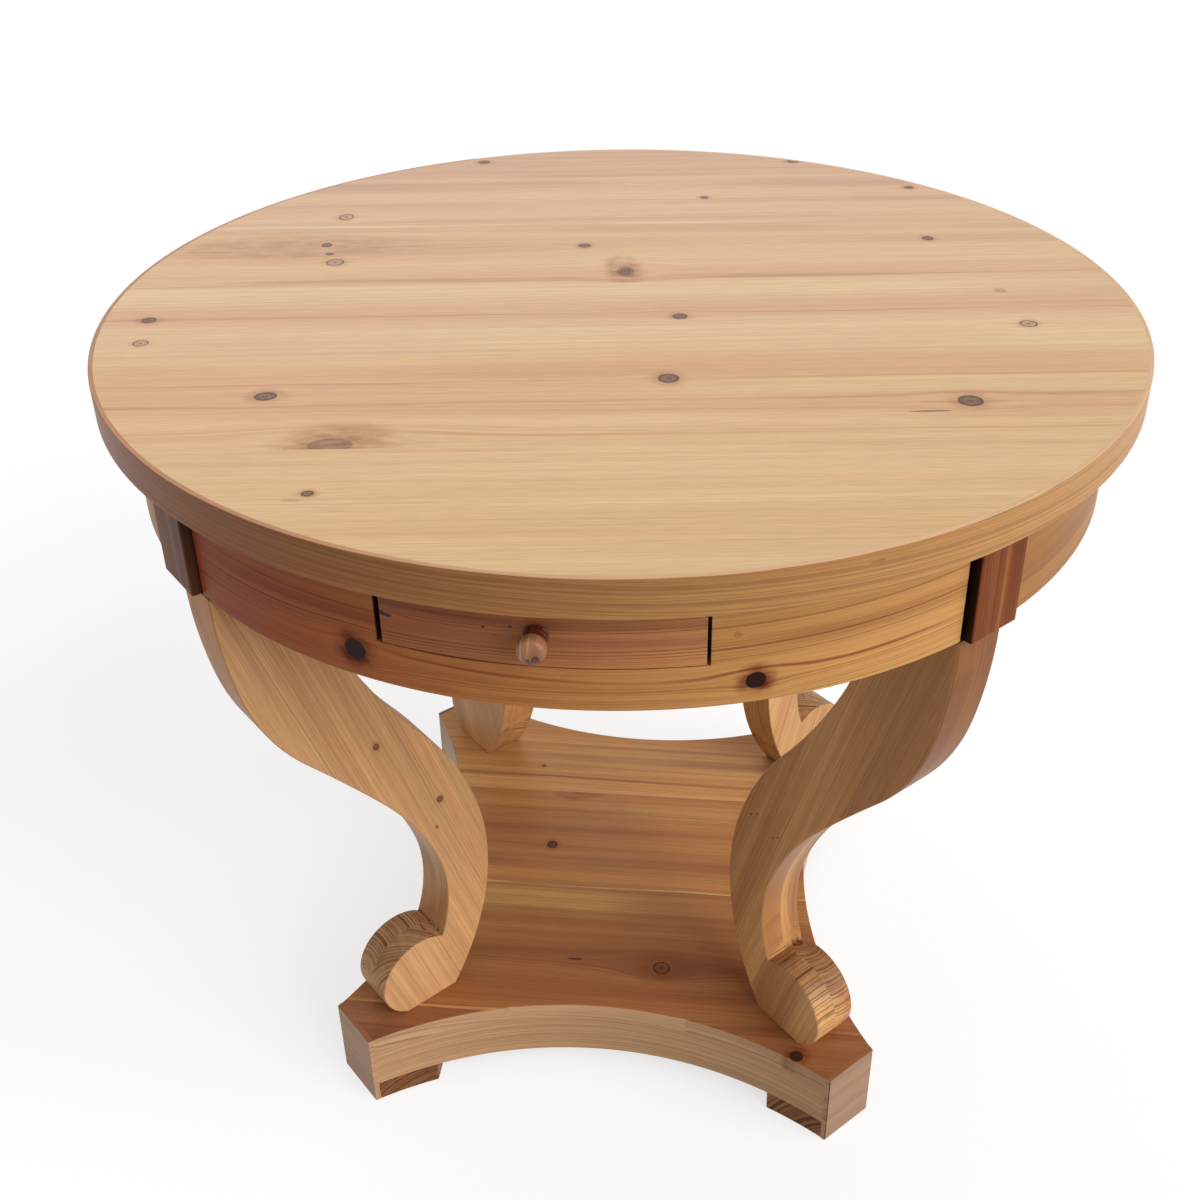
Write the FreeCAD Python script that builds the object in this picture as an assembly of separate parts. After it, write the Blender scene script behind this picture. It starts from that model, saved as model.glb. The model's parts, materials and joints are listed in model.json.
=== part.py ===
"""Round tavern table: boarded top, curved apron with one drawer, four S-scroll legs, hollow-sided plinth.

Millimetres, +Z up. The origin is on the floor under the centre of the top, and the drawer faces -Y.
Every piece is a solid of its own and is written to its own STEP file.
"""
import FreeCAD, Part
import math
import os

V = FreeCAD.Vector

# ---------------------------------------------------------------- driving dimensions (mm, degrees)
# top
TABLE_HEIGHT = 758.0
TOP_RADIUS = 450.0
TOP_THICKNESS = 31.0
TOP_FRONT_BOARD = 172.2          # frontmost board, from the edge band to its joint
TOP_BOARD_WIDTH = 154.8          # every other edge-glued board
TOP_LEAST_BOARD = 40.0           # a rearmost board is never narrower than this
TOP_GRAIN_ANGLE = 8.8            # the boards run this far off the left-right line
EDGE_BAND_THICKNESS = 4.0
EDGE_BAND_JOINT_ANGLE = -61.0    # where the band's two ends meet
EDGE_BAND_JOINT_GAP = 0.25

# apron ring and corner caps
TOP_OVERHANG = 25.0              # top beyond the apron's face
APRON_THICKNESS = 21.0
APRON_HEIGHT = 92.0
CAP_WIDTH = 50.0
CAP_PROJECTION = 7.0             # flat outer face beyond the apron's face
CAP_ARRIS = 1.0
CAP_HALF_ANGLE = 45.4            # from the front-back axis to a cap
CAP_TURN = 0.8                   # the four caps are turned this far as a set
CAP_GAP_DRAWER_SIDE = 3.0        # open joint between cap and front apron
CAP_GAP = 0.4

# legs, seen from the side: distances are radial
LEG_HALF_ANGLE = 44.0            # from the front-back axis to a leg, and to a plinth corner
BASE_TURN = 1.4                  # legs and plinth are turned this far as a set
LEG_BOARD_THICKNESS = 23.0       # each leg is two of these, glued face to face
POST_DEPTH = 59.0                # straight post behind the apron
SCROLL_RADIUS = 43.5
SCROLL_SETBACK = 144.0           # from the apron's face in to the scroll's centre
SCROLL_RISE = 39.0               # height of the scroll's centre above the plinth
CREASE_SETBACK = 27.0            # from the scroll's centre in to where the S meets it
HEEL_SETBACK = 37.0              # from the scroll's centre in to the foot's inner end
HEEL_ANGLE = 125.8               # direction in which the inner line leaves the plinth
# points between the arcs of the S, as shares of its reach and of its height
OUTER_S_RATIOS = ((0.067, 0.212), (0.345, 0.411), (0.733, 0.585), (1.020, 0.783), (1.0, 1.0))
INNER_S_RATIOS = ((-0.450, 0.192), (-0.398, 0.409), (0.117, 0.604), (0.720, 0.793), (1.0, 1.0))

# plinth
PLINTH_HEIGHT = 86.0
PLINTH_BOARD_THICKNESS = 18.0
PLINTH_PAD_HEIGHT = 22.0
PLINTH_TOE_MARGIN = 26.5         # clipped corner face beyond the scroll
PLINTH_CORNER_WIDTH = 58.0
PLINTH_SAGITTA = 66.0            # how far each side is hollowed
PLINTH_GRAIN_TURN = 0.8          # boards against the plinth's own axis
PLINTH_BOARD_WIDTHS = (56.6, 171.0, 148.0)    # from the front; the last board takes the rest
FACING_THICKNESS = 5.0
SKIRT_THICKNESS = 20.0
PAD_REACH = 57.0                 # along a side, from the corner inwards
BLOCK_WIDTH = 64.0
BLOCK_SCREW_ROOM = 14.0          # corner block's inner end, outside the leg screws

# drawer opening and drawer
OPENING_WIDTH = 227.2
OPENING_HEIGHT = 57.5
DRAWER_GAP_LEFT = 4.0
DRAWER_GAP_RIGHT = 2.2
DRAWER_GAP_TOP = 1.0
DRAWER_GAP_BOTTOM = 1.0
DRAWER_FRONT_DEPTH = 30.0        # bow front, from its flat back to its crown
DRAWER_BOX_INSET = 4.6           # box inside the opening's width, each side
DRAWER_BOX_RISE = 3.0            # box above the opening's lower edge
DRAWER_BOX_HEADROOM = 6.5        # above the sides, under the top
DRAWER_BOX_LENGTH = 250.0        # sides, from the back of the front
DRAWER_SIDE_THICKNESS = 12.0
DRAWER_REBATE = 7.0              # the sides are let this far into the front
DRAWER_BACK_DROP = 6.0           # the back is this much lower than the sides
DRAWER_BOTTOM_THICKNESS = 6.0
DRAWER_BOTTOM_RISE = 4.0         # underside of the bottom panel above the sides' lower edge
DRAWER_GROOVE_DEPTH = 5.0
DRAWER_SLIDE_CLEARANCE = 0.3

# knob, turned: distances along its axis from the drawer front
KNOB_RISE = 26.5                 # above the opening's lower edge
KNOB_PROJECTION = 22.8
KNOB_HEAD_RADIUS = 10.3
KNOB_NECK_RADIUS = 8.6
KNOB_CROWN_RADIUS = 7.6
KNOB_NECK_LENGTH = 10.0
KNOB_FLARE = 3.0                 # from the neck out to the head
KNOB_HEAD_EDGE = 4.5             # straight rim of the head
KNOB_CROWN_RISE = 1.3            # of the flat dome's middle
KNOB_SCREW_BITE = 14.0           # length inside the knob

# hidden framing
BEARER_THICKNESS = 22.0
BEARER_DROP = 19.5               # bearers reach this far below the drawer opening
BEARER_GUIDE_CLEARANCE = 1.0     # each side of the drawer box
RUNNER_SIZE = 14.0
RUNNER_OVERRUN = 25.0            # runners behind the closed drawer
STOP_LENGTH = 20.0
STOP_SIZE = 14.0
STOP_DROP = 14.0                 # stops below the top
GLUE_BLOCK_SIZE = 30.0
GLUE_BLOCK_DEPTH = 44.0
GLUE_BLOCK_DROP = 10.0           # clear of the apron's lower edge and of the top
GLUE_LINE = 0.05                 # play in a glued, coped joint

# screws, drawn with flat sides
SCREW_SIDES = 6
SCREW_RADIUS = 2.2
SCREW_HEAD_RADIUS = 4.2
SCREW_HEAD_HEIGHT = 2.6
SCREW_PLAY = 0.05
BEARER_SCREW_MARGIN = 100.0      # from a bearer's end to its first screw
BEARER_SCREW_COUNT = 3
BEARER_SCREW_BITE = 18.0         # into the top boards
LEG_SCREW_BITE = 42.0            # into the foot
LEG_SCREW_SIDE = 11.5            # off the glue line, one screw in each leg board

# ---------------------------------------------------------------- derived places
TOP_UNDERSIDE = TABLE_HEIGHT - TOP_THICKNESS
TOP_BOARDS_RADIUS = TOP_RADIUS - EDGE_BAND_THICKNESS
APRON_RADIUS = TOP_RADIUS - TOP_OVERHANG
APRON_BOTTOM = TOP_UNDERSIDE - APRON_HEIGHT
APRON_INNER = APRON_RADIUS - APRON_THICKNESS
COPE_RADIUS = APRON_INNER - GLUE_LINE
POST_INNER = APRON_INNER - POST_DEPTH
SCROLL_CENTRE = APRON_RADIUS - SCROLL_SETBACK
PLINTH_CORNER_RADIUS = SCROLL_CENTRE + SCROLL_RADIUS + PLINTH_TOE_MARGIN
PLINTH_BOARD_BOTTOM = PLINTH_HEIGHT - PLINTH_BOARD_THICKNESS
FACING_INNER = PLINTH_CORNER_RADIUS - FACING_THICKNESS
OPENING_BOTTOM = TOP_UNDERSIDE - OPENING_HEIGHT
BOX_HALF = OPENING_WIDTH / 2 - DRAWER_BOX_INSET
BOX_BOTTOM = OPENING_BOTTOM + DRAWER_BOX_RISE
BOX_TOP = TOP_UNDERSIDE - DRAWER_BOX_HEADROOM
BOX_FRONT = DRAWER_FRONT_DEPTH - APRON_RADIUS
BOX_REAR = BOX_FRONT + DRAWER_BOX_LENGTH
GUIDE_FACE = BOX_HALF + BEARER_GUIDE_CLEARANCE
RUNNER_TOP = BOX_BOTTOM - DRAWER_SLIDE_CLEARANCE
PANEL_BOTTOM = BOX_BOTTOM + DRAWER_BOTTOM_RISE
PANEL_TOP = PANEL_BOTTOM + DRAWER_BOTTOM_THICKNESS
BEARER_BOTTOM = OPENING_BOTTOM - BEARER_DROP
BEARER_SCREW_LENGTH = TOP_UNDERSIDE - BEARER_BOTTOM + BEARER_SCREW_BITE
LEG_SCREW_LENGTH = PLINTH_BOARD_THICKNESS + LEG_SCREW_BITE

KNOB_HEAD_START = KNOB_NECK_LENGTH + KNOB_FLARE
KNOB_HEAD_END = KNOB_HEAD_START + KNOB_HEAD_EDGE
KNOB_CROWN_START = KNOB_PROJECTION - KNOB_CROWN_RISE

UP = V(0, 0, 1)
CORNERS = ("front_left", "front_right", "back_right", "back_left")
SIDES = ("front", "right", "back", "left")
FAR = 2 * TOP_RADIUS             # larger than anything that is cut


# ---------------------------------------------------------------- small helpers
def corner_angle(corner, half_angle, turn):
    """Direction of a corner from the table's axis, in degrees from +X."""
    front_or_back = -90.0 if corner.startswith("front") else 90.0
    clockwise = corner in ("front_left", "back_right")
    return front_or_back + turn + (-half_angle if clockwise else half_angle)


def box(x0, x1, y0, y1, z0, z1):
    """Block between two corners."""
    return Part.makeBox(x1 - x0, y1 - y0, z1 - z0, V(x0, y0, z0))


def cylinder(radius, z0, z1, centre=(0.0, 0.0)):
    """Upright cylinder."""
    return Part.makeCylinder(radius, z1 - z0, V(centre[0], centre[1], z0))


def turned(shape, angle):
    """Copy turned about the table's axis."""
    copy = shape.copy()
    copy.rotate(V(0, 0, 0), V(0, 0, 1), angle)
    return copy


def rod(radius, seat, direction, length):
    """Flat-sided rod that stands for a screw's round parts and for the hole that they run in."""
    across = V(1, 0, 0)
    aside = direction.cross(across)
    corners = []
    for number in range(SCREW_SIDES):
        angle = 2 * math.pi * number / SCREW_SIDES
        corners.append(seat + across * (radius * math.cos(angle)) + aside * (radius * math.sin(angle)))
    return Part.Face(Part.makePolygon(corners + corners[:1])).extrude(direction * length)


def one_solid(shape):
    """The single solid of a boolean result."""
    shape = shape.removeSplitter()
    return shape.Solids[0] if len(shape.Solids) == 1 else shape


def write(name, shape):
    """Write one piece to its STEP file."""
    shape.exportStep("parts/" + name + ".step")


def screw(seat, direction, length):
    """Pan-head screw: its head sits on the seat point, its shank runs along the direction."""
    shank = rod(SCREW_RADIUS, seat, direction, length)
    head = rod(SCREW_HEAD_RADIUS, seat - direction * SCREW_HEAD_HEIGHT, direction, SCREW_HEAD_HEIGHT)
    return one_solid(shank.fuse(head))


def drilled(shape, seats, direction, length):
    """Shape with a clearance hole from each seat point that enters it."""
    for seat in seats:
        shape = shape.cut(rod(SCREW_RADIUS + SCREW_PLAY, seat, direction, length))
    return shape


# ---------------------------------------------------------------- screws of the top and of the feet
def bearer_screw_places():
    """Seat points of the screws that run up through the bearers into the top."""
    middle = GUIDE_FACE + BEARER_THICKNESS / 2
    reach = math.sqrt(APRON_INNER ** 2 - middle ** 2) - BEARER_SCREW_MARGIN
    step = 2 * reach / (BEARER_SCREW_COUNT - 1)
    return [V(side * middle, number * step - reach, BEARER_BOTTOM)
            for side in (-1, 1) for number in range(BEARER_SCREW_COUNT)]


def leg_screw_places():
    """Seat points of the screws that run up through the plinth boards into the feet."""
    places = []
    for corner in CORNERS:
        angle = math.radians(corner_angle(corner, LEG_HALF_ANGLE, BASE_TURN))
        outward = V(math.cos(angle), math.sin(angle), 0)
        across = V(-math.sin(angle), math.cos(angle), 0)
        for side in (-1, 1):
            aside = across * (side * LEG_SCREW_SIDE)
            places.append(outward * SCROLL_CENTRE + aside + UP * PLINTH_BOARD_BOTTOM)
    return places


# ---------------------------------------------------------------- top
def top_joints():
    """Distances of the top's joints from the centre, measured across the boards from the front."""
    joints = [TOP_FRONT_BOARD - TOP_BOARDS_RADIUS]
    while joints[-1] + TOP_BOARD_WIDTH < TOP_BOARDS_RADIUS - TOP_LEAST_BOARD:
        joints.append(joints[-1] + TOP_BOARD_WIDTH)
    return joints


def make_top():
    """Edge-glued boards and the bent band round them."""
    disc = cylinder(TOP_BOARDS_RADIUS, TOP_UNDERSIDE, TABLE_HEIGHT)
    edges = [-FAR] + top_joints() + [FAR]
    pieces = {}
    for number, (low, high) in enumerate(zip(edges, edges[1:]), start=1):
        strip = turned(box(-FAR, FAR, low, high, TOP_UNDERSIDE, TABLE_HEIGHT), TOP_GRAIN_ANGLE)
        board = drilled(disc.common(strip), bearer_screw_places(), UP, BEARER_SCREW_LENGTH)
        pieces["top_board_%d" % number] = board
    pieces["top_edge_band"] = make_edge_band()
    return pieces


def make_edge_band():
    """Long-grain band bent round the rim, its two ends butted."""
    points = [V(TOP_BOARDS_RADIUS, 0, TOP_UNDERSIDE), V(TOP_RADIUS, 0, TOP_UNDERSIDE),
              V(TOP_RADIUS, 0, TABLE_HEIGHT), V(TOP_BOARDS_RADIUS, 0, TABLE_HEIGHT)]
    face = Part.Face(Part.makePolygon(points + points[:1]))
    gap_angle = math.degrees(EDGE_BAND_JOINT_GAP / TOP_RADIUS)
    ring = face.revolve(V(0, 0, 0), V(0, 0, 1), 360.0 - gap_angle)
    return turned(ring, EDGE_BAND_JOINT_ANGLE + gap_angle / 2)


# ---------------------------------------------------------------- apron and caps
def cap_slot(corner, extra_low, extra_high):
    """Space that a cap takes out of the apron ring, widened on either side."""
    half = CAP_WIDTH / 2
    slot = box(POST_INNER, FAR, -half - extra_low, half + extra_high, 0, TABLE_HEIGHT)
    return turned(slot, corner_angle(corner, CAP_HALF_ANGLE, CAP_TURN))


def make_aprons():
    """Four curved segments sawn from one ring, the front one notched for the drawer."""
    ring = cylinder(APRON_RADIUS, APRON_BOTTOM, TOP_UNDERSIDE)
    ring = ring.cut(cylinder(APRON_INNER, APRON_BOTTOM, TOP_UNDERSIDE))
    gaps = {"front_left": (CAP_GAP, CAP_GAP_DRAWER_SIDE), "front_right": (CAP_GAP_DRAWER_SIDE, CAP_GAP),
            "back_right": (CAP_GAP, CAP_GAP), "back_left": (CAP_GAP, CAP_GAP)}
    for corner in CORNERS:
        low, high = gaps[corner]
        ring = ring.cut(cap_slot(corner, low, high))
    pieces = {}
    for solid in ring.Solids:
        centre = solid.CenterOfMass
        if abs(centre.y) > abs(centre.x):
            side = "front" if centre.y < 0 else "back"
        else:
            side = "left" if centre.x < 0 else "right"
        pieces["apron_" + side] = solid
    half = OPENING_WIDTH / 2
    opening = box(-half, half, -FAR, 0, OPENING_BOTTOM, TABLE_HEIGHT)
    pieces["apron_front"] = one_solid(pieces["apron_front"].cut(opening))
    return pieces


def make_caps():
    """Flat-faced blocks over the leg tops, coped to the posts behind."""
    pieces = {}
    half = CAP_WIDTH / 2
    face = APRON_RADIUS + CAP_PROJECTION
    for corner in CORNERS:
        block = box(POST_INNER, face, -half, half, APRON_BOTTOM, TOP_UNDERSIDE)
        outer = [edge for edge in block.Edges
                 if edge.BoundBox.XMin > face - 1 and edge.CenterOfMass.z < TOP_UNDERSIDE - 1]
        block = block.makeChamfer(CAP_ARRIS, outer)
        block = block.cut(cylinder(APRON_INNER, APRON_BOTTOM, TOP_UNDERSIDE))
        pieces["cap_" + corner] = turned(block, corner_angle(corner, CAP_HALF_ANGLE, CAP_TURN))
    return pieces


# ---------------------------------------------------------------- legs
def arc_chain(start, direction, points):
    """Arcs from point to point in the leg's plane, each tangent to the one before.

    Start and points are (radius, height), and the direction is that of the first arc at its start.
    """
    here = V(start[0], 0, start[1])
    heading = V(direction[0], 0, direction[1]).normalize()
    arcs = []
    for radius, height in points:
        there = V(radius, 0, height)
        length = (there - here).Length
        along = (there - here) * (1 / length)
        left = V(-along.z, 0, along.x)
        half_turn = math.asin(heading.dot(left))
        bulge = left * (length / 2 * math.tan(half_turn / 2))
        arcs.append(Part.Arc(here, (here + there) * 0.5 + bulge, there).toShape())
        heading = along * (2 * heading.dot(along)) - heading
        here = there
    return arcs


def between(start, end, shares):
    """Points at given shares of the way from start to end, across and up separately."""
    width = end[0] - start[0]
    height = end[1] - start[1]
    return [(start[0] + width * across, start[1] + height * up) for across, up in shares]


def leg_profile():
    """Closed outline of a leg: post, S and scroll foot."""
    floor = PLINTH_HEIGHT
    shoulder = (APRON_RADIUS, APRON_BOTTOM)
    post_foot = (POST_INNER, APRON_BOTTOM)
    centre = V(SCROLL_CENTRE, 0, floor + SCROLL_RISE)
    toe = V(SCROLL_CENTRE + math.sqrt(SCROLL_RADIUS ** 2 - SCROLL_RISE ** 2), 0, floor)
    crease = (SCROLL_CENTRE - CREASE_SETBACK, centre.z + math.sqrt(SCROLL_RADIUS ** 2 - CREASE_SETBACK ** 2))
    heel = (SCROLL_CENTRE - HEEL_SETBACK, floor)
    crown = centre + V(1, 0, 1).normalize() * SCROLL_RADIUS
    scroll = Part.Arc(V(crease[0], 0, crease[1]), crown, toe).toShape()
    outer = arc_chain(shoulder, (0, -1), between(shoulder, crease, OUTER_S_RATIOS))
    heel_angle = math.radians(HEEL_ANGLE)
    heel_direction = (math.cos(heel_angle), math.sin(heel_angle))
    inner = arc_chain(heel, heel_direction, between(heel, post_foot, INNER_S_RATIOS))
    corners = [V(POST_INNER, 0, APRON_BOTTOM), V(POST_INNER, 0, TOP_UNDERSIDE),
               V(APRON_RADIUS, 0, TOP_UNDERSIDE), V(APRON_RADIUS, 0, APRON_BOTTOM)]
    straight = [Part.makeLine(low, high) for low, high in zip(corners, corners[1:])]
    foot = Part.makeLine(toe, V(heel[0], 0, heel[1]))
    return Part.Face(Part.Wire(Part.__sortEdges__(outer + inner + straight + [scroll, foot])))


def make_legs():
    """Eight leg boards, two to a leg, shouldered under the apron."""
    profile = leg_profile()
    apron_room = cylinder(FAR, APRON_BOTTOM, TABLE_HEIGHT)
    apron_room = apron_room.cut(cylinder(COPE_RADIUS, APRON_BOTTOM, TABLE_HEIGHT))
    pieces = {}
    for corner in CORNERS:
        angle = corner_angle(corner, LEG_HALF_ANGLE, BASE_TURN)
        for side, letter in ((-1, "a"), (1, "b")):
            board = profile.extrude(V(0, side * LEG_BOARD_THICKNESS, 0))
            board = turned(one_solid(board.cut(apron_room)), angle)
            pieces["leg_%s_%s" % (corner, letter)] = drilled(board, leg_screw_places(), UP, LEG_SCREW_LENGTH)
    return pieces


# ---------------------------------------------------------------- plinth
def plinth_corner_points():
    """The two ends of each clipped corner face, in the plinth's own frame, in order round it."""
    points = []
    for corner in CORNERS:
        angle = math.radians(corner_angle(corner, LEG_HALF_ANGLE, 0))
        outward = V(math.cos(angle), math.sin(angle), 0)
        across = V(-math.sin(angle), math.cos(angle), 0)
        for side in (-1, 1):
            points.append(outward * PLINTH_CORNER_RADIUS + across * (side * PLINTH_CORNER_WIDTH / 2))
    return points


def hollow_arcs(z):
    """The four hollowed sides as arcs, in the order of SIDES."""
    points = plinth_corner_points()
    arcs = []
    for number in range(4):
        start = points[2 * number + 1]
        end = points[(2 * number + 2) % 8]
        chord_middle = (start + end) * 0.5
        inward = chord_middle * (1 - PLINTH_SAGITTA / chord_middle.Length)
        lift = V(0, 0, z)
        arcs.append(Part.Arc(start + lift, inward + lift, end + lift).toShape())
    return arcs


def plinth_prism(z0, z1):
    """Whole outline of the plinth between two heights, in its own frame."""
    edges = []
    points = plinth_corner_points()
    lift = V(0, 0, z0)
    for number, arc in enumerate(hollow_arcs(z0)):
        edges.append(Part.makeLine(points[2 * number] + lift, points[2 * number + 1] + lift))
        edges.append(arc)
    return Part.Face(Part.Wire(Part.__sortEdges__(edges))).extrude(V(0, 0, z1 - z0))


def corner_slab(corner, r0, r1, half_width, z0, z1):
    """Block square to a corner's direction, in the plinth's own frame."""
    return turned(box(r0, r1, -half_width, half_width, z0, z1), corner_angle(corner, LEG_HALF_ANGLE, 0))


def without_facings(shape):
    """Shape with the room for the four corner facings taken off."""
    for corner in CORNERS:
        shape = shape.cut(corner_slab(corner, FACING_INNER, FAR, FAR, 0, PLINTH_HEIGHT))
    return shape


def plinth_joints():
    """Distances of the plinth's joints from the centre, from the front."""
    edge = min(point.y for point in plinth_corner_points())
    joints = []
    for width in PLINTH_BOARD_WIDTHS:
        edge += width
        joints.append(edge)
    return joints


def make_plinth_boards(core, screw_places):
    """Platform boards; the frontmost strip is two corners."""
    slab = core.common(box(-FAR, FAR, -FAR, FAR, PLINTH_BOARD_BOTTOM, PLINTH_HEIGHT))
    slab = drilled(slab, screw_places, UP, LEG_SCREW_LENGTH)
    edges = [-FAR] + plinth_joints() + [FAR]
    pieces = {}
    for number, (low, high) in enumerate(zip(edges, edges[1:])):
        strip = box(-FAR, FAR, low, high, PLINTH_BOARD_BOTTOM, PLINTH_HEIGHT)
        board = slab.common(turned(strip, PLINTH_GRAIN_TURN))
        if number == 0:
            ends = sorted(board.Solids, key=lambda solid: solid.CenterOfMass.x)
            pieces["plinth_board_front_left"] = ends[0]
            pieces["plinth_board_front_right"] = ends[-1]
        else:
            pieces["plinth_board_%d" % number] = one_solid(board)
    return pieces


def make_plinth():
    """Boards, skirts, facings, corner blocks and pads."""
    whole = plinth_prism(0, PLINTH_HEIGHT)
    core = without_facings(whole)
    screw_places = [turned(Part.Vertex(place), -BASE_TURN).Point for place in leg_screw_places()]
    pieces = make_plinth_boards(core, screw_places)
    low = core.common(box(-FAR, FAR, -FAR, FAR, PLINTH_PAD_HEIGHT, PLINTH_BOARD_BOTTOM))
    block_room = low
    for side, arc in zip(SIDES, hollow_arcs(0)):
        circle = arc.Curve
        centre = (circle.Center.x, circle.Center.y)
        skirt_radius = circle.Radius + SKIRT_THICKNESS
        skirt_back = cylinder(skirt_radius, 0, PLINTH_HEIGHT, centre)
        pieces["plinth_skirt_" + side] = one_solid(low.common(skirt_back))
        block_room = block_room.cut(cylinder(skirt_radius + GLUE_LINE, 0, PLINTH_HEIGHT, centre))
    pads = core.common(box(-FAR, FAR, -FAR, FAR, 0, PLINTH_PAD_HEIGHT))
    block_inner = SCROLL_CENTRE + BLOCK_SCREW_ROOM
    for corner in CORNERS:
        facing = whole.common(corner_slab(corner, FACING_INNER, FAR, FAR, 0, PLINTH_HEIGHT))
        pieces["plinth_facing_" + corner] = one_solid(facing)
        block = block_room.common(corner_slab(corner, block_inner, FAR, BLOCK_WIDTH / 2, 0, PLINTH_HEIGHT))
        pieces["plinth_block_" + corner] = one_solid(block)
        pieces["foot_pad_" + corner] = one_solid(pads.common(pad_room(corner)))
    return {name: turned(shape, BASE_TURN) for name, shape in pieces.items()}


def pad_room(corner):
    """Square region at one plinth corner that its foot pad fills, in the plinth's own frame."""
    x_sign = -1 if corner.endswith("left") else 1
    y_sign = -1 if corner.startswith("front") else 1
    points = plinth_corner_points()
    x_inner = min(abs(point.x) for point in points) - PAD_REACH
    y_inner = min(abs(point.y) for point in points) - PAD_REACH
    xs = sorted((x_sign * x_inner, x_sign * FAR))
    ys = sorted((y_sign * y_inner, y_sign * FAR))
    return box(xs[0], xs[1], ys[0], ys[1], 0, PLINTH_PAD_HEIGHT)


# ---------------------------------------------------------------- hidden framing under the top
def make_framing():
    """Bearers, runners, drawer stops and glue blocks."""
    inside = cylinder(COPE_RADIUS, APRON_BOTTOM, TOP_UNDERSIDE)
    pieces = {}
    stops = []
    for side, word in ((-1, "left"), (1, "right")):
        xs = sorted((side * GUIDE_FACE, side * (GUIDE_FACE + BEARER_THICKNESS)))
        bearer = box(xs[0], xs[1], -FAR, FAR, BEARER_BOTTOM, TOP_UNDERSIDE).common(inside)
        pieces["bearer_" + word] = drilled(bearer, bearer_screw_places(), UP, BEARER_SCREW_LENGTH)
        xs = sorted((side * GUIDE_FACE, side * (GUIDE_FACE - RUNNER_SIZE)))
        runner = box(xs[0], xs[1], -FAR, BOX_REAR + RUNNER_OVERRUN, RUNNER_TOP - RUNNER_SIZE, RUNNER_TOP)
        pieces["drawer_runner_" + word] = runner.common(inside)
        stop_front = BOX_REAR + DRAWER_SLIDE_CLEARANCE
        xs = sorted((side * GUIDE_FACE, side * (GUIDE_FACE - STOP_SIZE)))
        stop_top = TOP_UNDERSIDE - STOP_DROP
        stops.append(box(xs[0], xs[1], stop_front, stop_front + STOP_LENGTH, stop_top - STOP_SIZE, stop_top))
    pieces["drawer_stops"] = Part.makeCompound(stops)
    blocks = []
    for corner in CORNERS:
        for side in (-1, 1):
            ys = sorted((side * LEG_BOARD_THICKNESS, side * (LEG_BOARD_THICKNESS + GLUE_BLOCK_SIZE)))
            block = box(COPE_RADIUS - GLUE_BLOCK_DEPTH, FAR, ys[0], ys[1],
                        APRON_BOTTOM + GLUE_BLOCK_DROP, TOP_UNDERSIDE - GLUE_BLOCK_DROP)
            blocks.append(turned(block.common(inside), corner_angle(corner, LEG_HALF_ANGLE, BASE_TURN)))
    pieces["apron_glue_blocks"] = Part.makeCompound(blocks)
    return pieces


def make_screws():
    """Two groups of loose screws."""
    top = [screw(place, UP, BEARER_SCREW_LENGTH) for place in bearer_screw_places()]
    feet = [screw(place, UP, LEG_SCREW_LENGTH) for place in leg_screw_places()]
    return {"bearer_screws": Part.makeCompound(top), "leg_screws": Part.makeCompound(feet)}


# ---------------------------------------------------------------- drawer
def make_drawer():
    """Bow front, two sides, back, bottom panel, knob and its screw."""
    half = OPENING_WIDTH / 2
    left = -half + DRAWER_GAP_LEFT
    right = half - DRAWER_GAP_RIGHT
    front_bottom = OPENING_BOTTOM + DRAWER_GAP_BOTTOM
    front_top = TOP_UNDERSIDE - DRAWER_GAP_TOP
    side_inner = BOX_HALF - DRAWER_SIDE_THICKNESS
    groove_half = side_inner + DRAWER_GROOVE_DEPTH
    front = box(left, right, -FAR, BOX_FRONT, front_bottom, front_top)
    front = front.common(cylinder(APRON_RADIUS, front_bottom, front_top))
    rebate_front = BOX_FRONT - DRAWER_REBATE
    for side in (-1, 1):
        xs = sorted((side * side_inner, side * FAR))
        front = front.cut(box(xs[0], xs[1], rebate_front, 0, 0, TABLE_HEIGHT))
    panel_front = BOX_FRONT - DRAWER_GROOVE_DEPTH
    panel_room = box(-groove_half, groove_half, panel_front, BOX_REAR, PANEL_BOTTOM, PANEL_TOP)
    front = front.cut(panel_room)
    screw_seat = V(0, BOX_FRONT, OPENING_BOTTOM + KNOB_RISE)
    screw_length = DRAWER_FRONT_DEPTH + KNOB_SCREW_BITE
    outward = V(0, -1, 0)
    pieces = {"drawer_front": one_solid(drilled(front, [screw_seat], outward, screw_length))}
    for side, word in ((-1, "left"), (1, "right")):
        xs = sorted((side * side_inner, side * BOX_HALF))
        board = box(xs[0], xs[1], rebate_front, BOX_REAR, BOX_BOTTOM, BOX_TOP)
        pieces["drawer_side_" + word] = one_solid(board.cut(panel_room))
    pieces["drawer_back"] = box(-side_inner, side_inner, BOX_REAR - DRAWER_SIDE_THICKNESS, BOX_REAR,
                                PANEL_TOP, BOX_TOP - DRAWER_BACK_DROP)
    pieces["drawer_bottom"] = panel_room
    pieces["drawer_knob"] = one_solid(drilled(make_knob(), [screw_seat], outward, screw_length))
    pieces["knob_screw"] = screw(screw_seat, outward, screw_length)
    return pieces


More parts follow.
